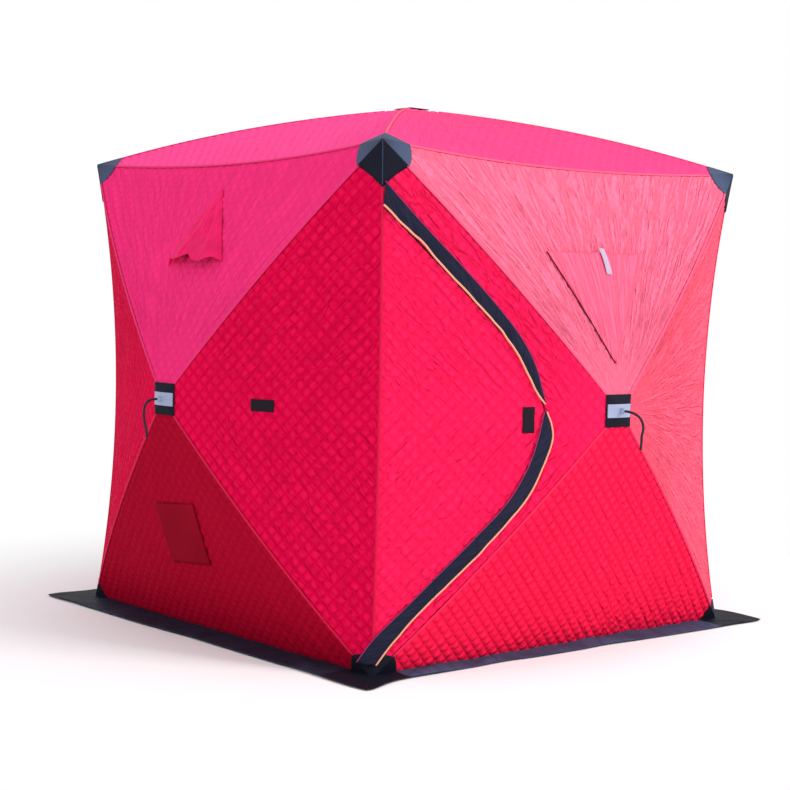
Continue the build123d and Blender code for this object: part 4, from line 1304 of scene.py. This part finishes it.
def sew_tabs_and_patches():
    """Hook tabs on the door and the left wall, and the patches sewn on two lower panels."""
    upright, level = (TAB_SHORT, TAB_LONG), (TAB_LONG, TAB_SHORT)
    tab = block_on("left_side", DOOR_TAB, upright, TAB_LIFT, TAB_THICK)
    hang("door_tab_tape", tab, "hook_tape", "tab_fabric", ["door_tab"],
         cloth_of(upright, "stretched", ["door_leaf"]), "door")
    tab = block_on("right_side", WALL_TAB, level, TAB_LIFT, TAB_THICK)
    hang("wall_tab_tape", on_walls([tab], ["left"]), "hook_tape", "tab_fabric", ["wall_tab"],
         cloth_of(level, "stretched", ["left_side_panels"]))
    square = block_on("bottom", SEWN_PATCH, SEWN_PATCH_SIZE, SEWN_PATCH_LIFT, FLAP_THICK, math.radians(5), 20)
    # The left patch gets cloth with painted shade, the right patch cloth with painted light
    hang("lower_patch_cloth", on_walls([square], VENT_SIDES), ["sewn_patch_cloth", "sewn_patch_cloth_lit"],
         "flap_fabric", ["lower_patches"], cloth_of(FLAT["patch"], "stretched", ["left_bottom_panel"]))


# Skirt
SKIRT_INNER = 0.893
SKIRT_TIP = 1.064
SKIRT_RISE = 0.008
EYELET_AT = 1.010
# Reach of the skirt's edge on the ground at the start and the end of each side
SKIRT_REACH = {"front": (1.044, 1.030), "left": (1.060, 1.044), "back": (1.050, 1.060),
               "right": (1.064, 1.050)}
# How far each side runs along the ground at its start and its end
SKIRT_RUN = {"front": (1.044, 1.064), "left": (1.060, 1.044), "back": (1.050, 1.060), "right": (1.030, 1.050)}


def lay_skirt():
    """A skirt round the foot: it leaves the wall a little up, sinks to the ground and lies in waves."""
    run, out = crossed((-1, 1, 200), (0, 1, 15))
    ends = 1 - np.abs(run) ** 12
    for number, side in enumerate(SIDE_TURN):
        seeds = [seed + number for seed in SKIRT_SEEDS]
        reach = between(*SKIRT_REACH[side], (run + 1) / 2)
        half = np.where(run < 0, *SKIRT_RUN[side])
        stir = 0.010 * smooth_noise(run * 6, out * 0.3, seeds[0]) - 0.014 * ends
        if side == "front":
            stir = stir - (0.004 + 0.052 * held((0.7 - run) / 1.4)) * ends
        x = run * (SKIRT_INNER + (half - SKIRT_INNER) * out)
        y = -(SKIRT_INNER + (reach + stir * ends - SKIRT_INNER) * out)
        rise = SKIRT_RISE * (0.8 + 0.35 * smooth_noise(run * 10, out * 0, seeds[1]) * ends)
        fall = rise * (1 - out) ** 1.5
        waves = held(smooth_noise(run * 12, out * 1.4, seeds[2])) * 0.012 * np.sin(out * math.pi) ** 0.7
        lip = held(smooth_noise(run * 6 + 5, out * 0.4, seeds[3])) * 0.008 * out ** 2
        z = 0.0042 + fall + (waves + lip) * ends
        pinned = held(1.5 - np.hypot(np.abs(x) - EYELET_AT, np.abs(y) - EYELET_AT) / 0.03)
        z = between(z, 0.0028, pinned)
        corner = held(np.abs(run) * 8 - 7) ** 2 * out ** 3 * 0.014
        grid = np.stack([x - np.sign(run) * corner, y + corner, z], -1)
        mesh = on_walls([sewn_sheet(grid, CAP_THICK, np.stack([x, y], -1))], [side])
        hang(f"snow_skirt_{side}_cloth", mesh, "skirt_cloth" + ("_shaded" if side in SHADED_SIDES else ""),
             "skirt_fabric", ["snow_skirt_" + side],
             cloth_of((2 * SKIRT_TIP, FLAT["skirt"]), "laid", [],
                      area=min(sheet_area(*mesh[:2]), MOST_AREA["skirt"])))


# Pull straps
STRAP_WIDTH = 0.009
STRAP_ROUTE = [(0, -1.189, 0.890), (0, -1.213, 0.890), (0.011, -1.241, 0.878), (0.019, -1.254, 0.857),
               (0.023, -1.257, 0.832), (0.020, -1.251, 0.806), (0.026, -1.246, 0.780), (0.024, -1.244, 0.755)]


def hang_straps():
    """A limp pull strap from the eye of each wall hub, on a smooth line through its route."""
    for side in SIDE_TURN:
        route = turned(np.array(STRAP_ROUTE), side)
        curve = bpy.data.curves.new("pull_strap_" + side + "_cord", "CURVE")
        curve.dimensions = "3D"
        spline = curve.splines.new("NURBS")
        spline.points.add(len(route) - 1)
        for point, place in zip(spline.points, route):
            point.co = (*place, 1)
        spline.order_u = 3
        spline.use_endpoint_u = True
        curve.bevel_depth = STRAP_WIDTH / 2
        curve.bevel_resolution = 4
        curve.use_fill_caps = True
        curve.materials.append(MATERIALS["strap_cord"])
        piece = bpy.data.objects.new(curve.name, curve)
        bpy.context.collection.objects.link(piece)
        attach(piece, "shell")
        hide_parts("pull_strap_" + side)


# Finish of the frame's own pieces
def finish_frame():
    """Hubs, poles, plates, eyelets, film and netting keep their shape and get their finish."""
    finishes = {"hub_plates": "hub_plate_plastic", "skirt_eyelets": "eyelet_metal",
                "vent_meshes": "vent_netting", "window_panes": "window_film", "wall_hubs": "hub_plastic",
                "roof_hub": "hub_plastic", "corner_sockets": "hub_plastic", "pole_feet": "hub_plastic"}
    for name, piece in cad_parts.items():
        finish = "pole_lacquer" if name.endswith("_poles") else finishes.get(name)
        if finish:
            for place in piece.material_slots:
                place.material = MATERIALS[finish]


# Stage, light and camera
FLOOR_REACH = 40.0
FLOOR_DROP = 0.001
FLOOR_FADE = (1.25, 2.8)
SKY = 0.88
LAMPS = (("soft_lamp", (3.2, -7.0, 6.0), 520.0), ("fill_lamp", (-7.0, -5.5, 4.5), 150.0))
LAMP_SIZE = 3.5
LAMP_COLOUR = (1.0, 0.985, 0.97)
LAMP_AIM = (0, 0, 1.0)
CAMERA_AT = (-4.441, -5.135, 1.274)
CAMERA_YAW, CAMERA_PITCH, CAMERA_ROLL = (math.radians(a) for a in (49.51, -3.34, 1.22))
CAMERA_LENS = 76.0


def seen_rays(tree):
    """One for camera, glossy and transmission rays, and zero for the rest."""
    path = node(tree, "ShaderNodeLightPath").outputs
    seen = most(Value(path["Is Camera Ray"]), Value(path["Is Glossy Ray"]))
    return most(seen, Value(path["Is Transmission Ray"]))


def looking(place, way, roll=0.0):
    """The matrix of something at a place that looks along a way, rolled about it."""
    way = unit(way)
    right = unit(np.cross(way, (0, 0, 1)))
    up = np.cross(right, way)
    c, s = math.cos(roll), math.sin(roll)
    matrix = np.eye(4)
    for column, part in enumerate((right * c + up * s, up * c - right * s, -way, place)):
        matrix[:3, column] = part
    return Matrix(matrix.tolist())


def set_floor():
    """A pale floor that fades into a white surround."""
    mesh = bpy.data.meshes.new("floor")
    places = ((-1, -1), (1, -1), (1, 1), (-1, 1))
    corners = [(x * FLOOR_REACH, y * FLOOR_REACH, -FLOOR_DROP) for x, y in places]
    mesh.from_pydata(corners, [], [(0, 1, 2, 3)])
    floor = bpy.data.objects.new("floor", mesh)
    bpy.context.collection.objects.link(floor)
    tree, shader = surface("pale_floor", 0.9, Specular_IOR_Level=0.1)
    shader.inputs["Base Color"].default_value = (0.9, 0.9, 0.91, 1)
    length = calc("LENGTH", object_place(tree), kind="ShaderNodeVectorMath", result=1)
    far = node(tree, "ShaderNodeMapRange", interpolation_type="SMOOTHSTEP", From_Min=FLOOR_FADE[0],
               From_Max=FLOOR_FADE[1], Value=length)
    white = node(tree, "ShaderNodeEmission", Strength=1.0, Color=(1, 1, 1, 1))
    mix = node(tree, "ShaderNodeMixShader")
    share = Value(far.outputs[0]) * seen_rays(tree)
    for place, value in enumerate((share, Value(shader.outputs[0]), Value(white.outputs[0]))):
        feed(mix.inputs[place], value)
    feed(tree.nodes["Material Output"].inputs["Surface"], Value(mix.outputs[0]))
    mesh.materials.append(MATERIALS["pale_floor"])


def set_lights():
    """A soft sky, white where it is seen, and two large soft lamps."""
    world = bpy.data.worlds.new("soft_sky")
    world.use_nodes = True
    bpy.context.scene.world = world
    tree = world.node_tree
    sky = tint(seen_rays(tree), (SKY, SKY, SKY * 1.03), (1, 1, 1))
    feed(tree.nodes["Background"].inputs["Color"], sky)
    for name, place, power in LAMPS:
        lamp = bpy.data.lights.new(name, "AREA")
        lamp.shape = "DISK"
        lamp.size = LAMP_SIZE
        lamp.energy = power
        lamp.color = LAMP_COLOUR
        holder = bpy.data.objects.new(name, lamp)
        holder.matrix_world = looking(place, np.subtract(LAMP_AIM, place))
        bpy.context.collection.objects.link(holder)


def set_camera():
    """The photograph's place and direction, with a longer lens, so that the hut fills the frame."""
    data = bpy.data.cameras.new("camera")
    data.lens = CAMERA_LENS
    data.sensor_width = 36.0
    data.clip_end = 200.0
    holder = bpy.data.objects.new("camera", data)
    level = math.cos(CAMERA_PITCH)
    way = np.array([level * math.cos(CAMERA_YAW), level * math.sin(CAMERA_YAW), math.sin(CAMERA_PITCH)])
    holder.matrix_world = looking(CAMERA_AT, way, CAMERA_ROLL)
    bpy.context.collection.objects.link(holder)
    bpy.context.scene.camera = holder
    bpy.context.scene.view_settings.view_transform = "Standard"


set_camera()
hang_straps()
hang_panels()
hang_door()
hang_flaps()
sew_welts()
sew_caps()
sew_windows()
sew_hoods()
sew_tabs_and_patches()
lay_skirt()
finish_frame()
set_floor()
set_lights()
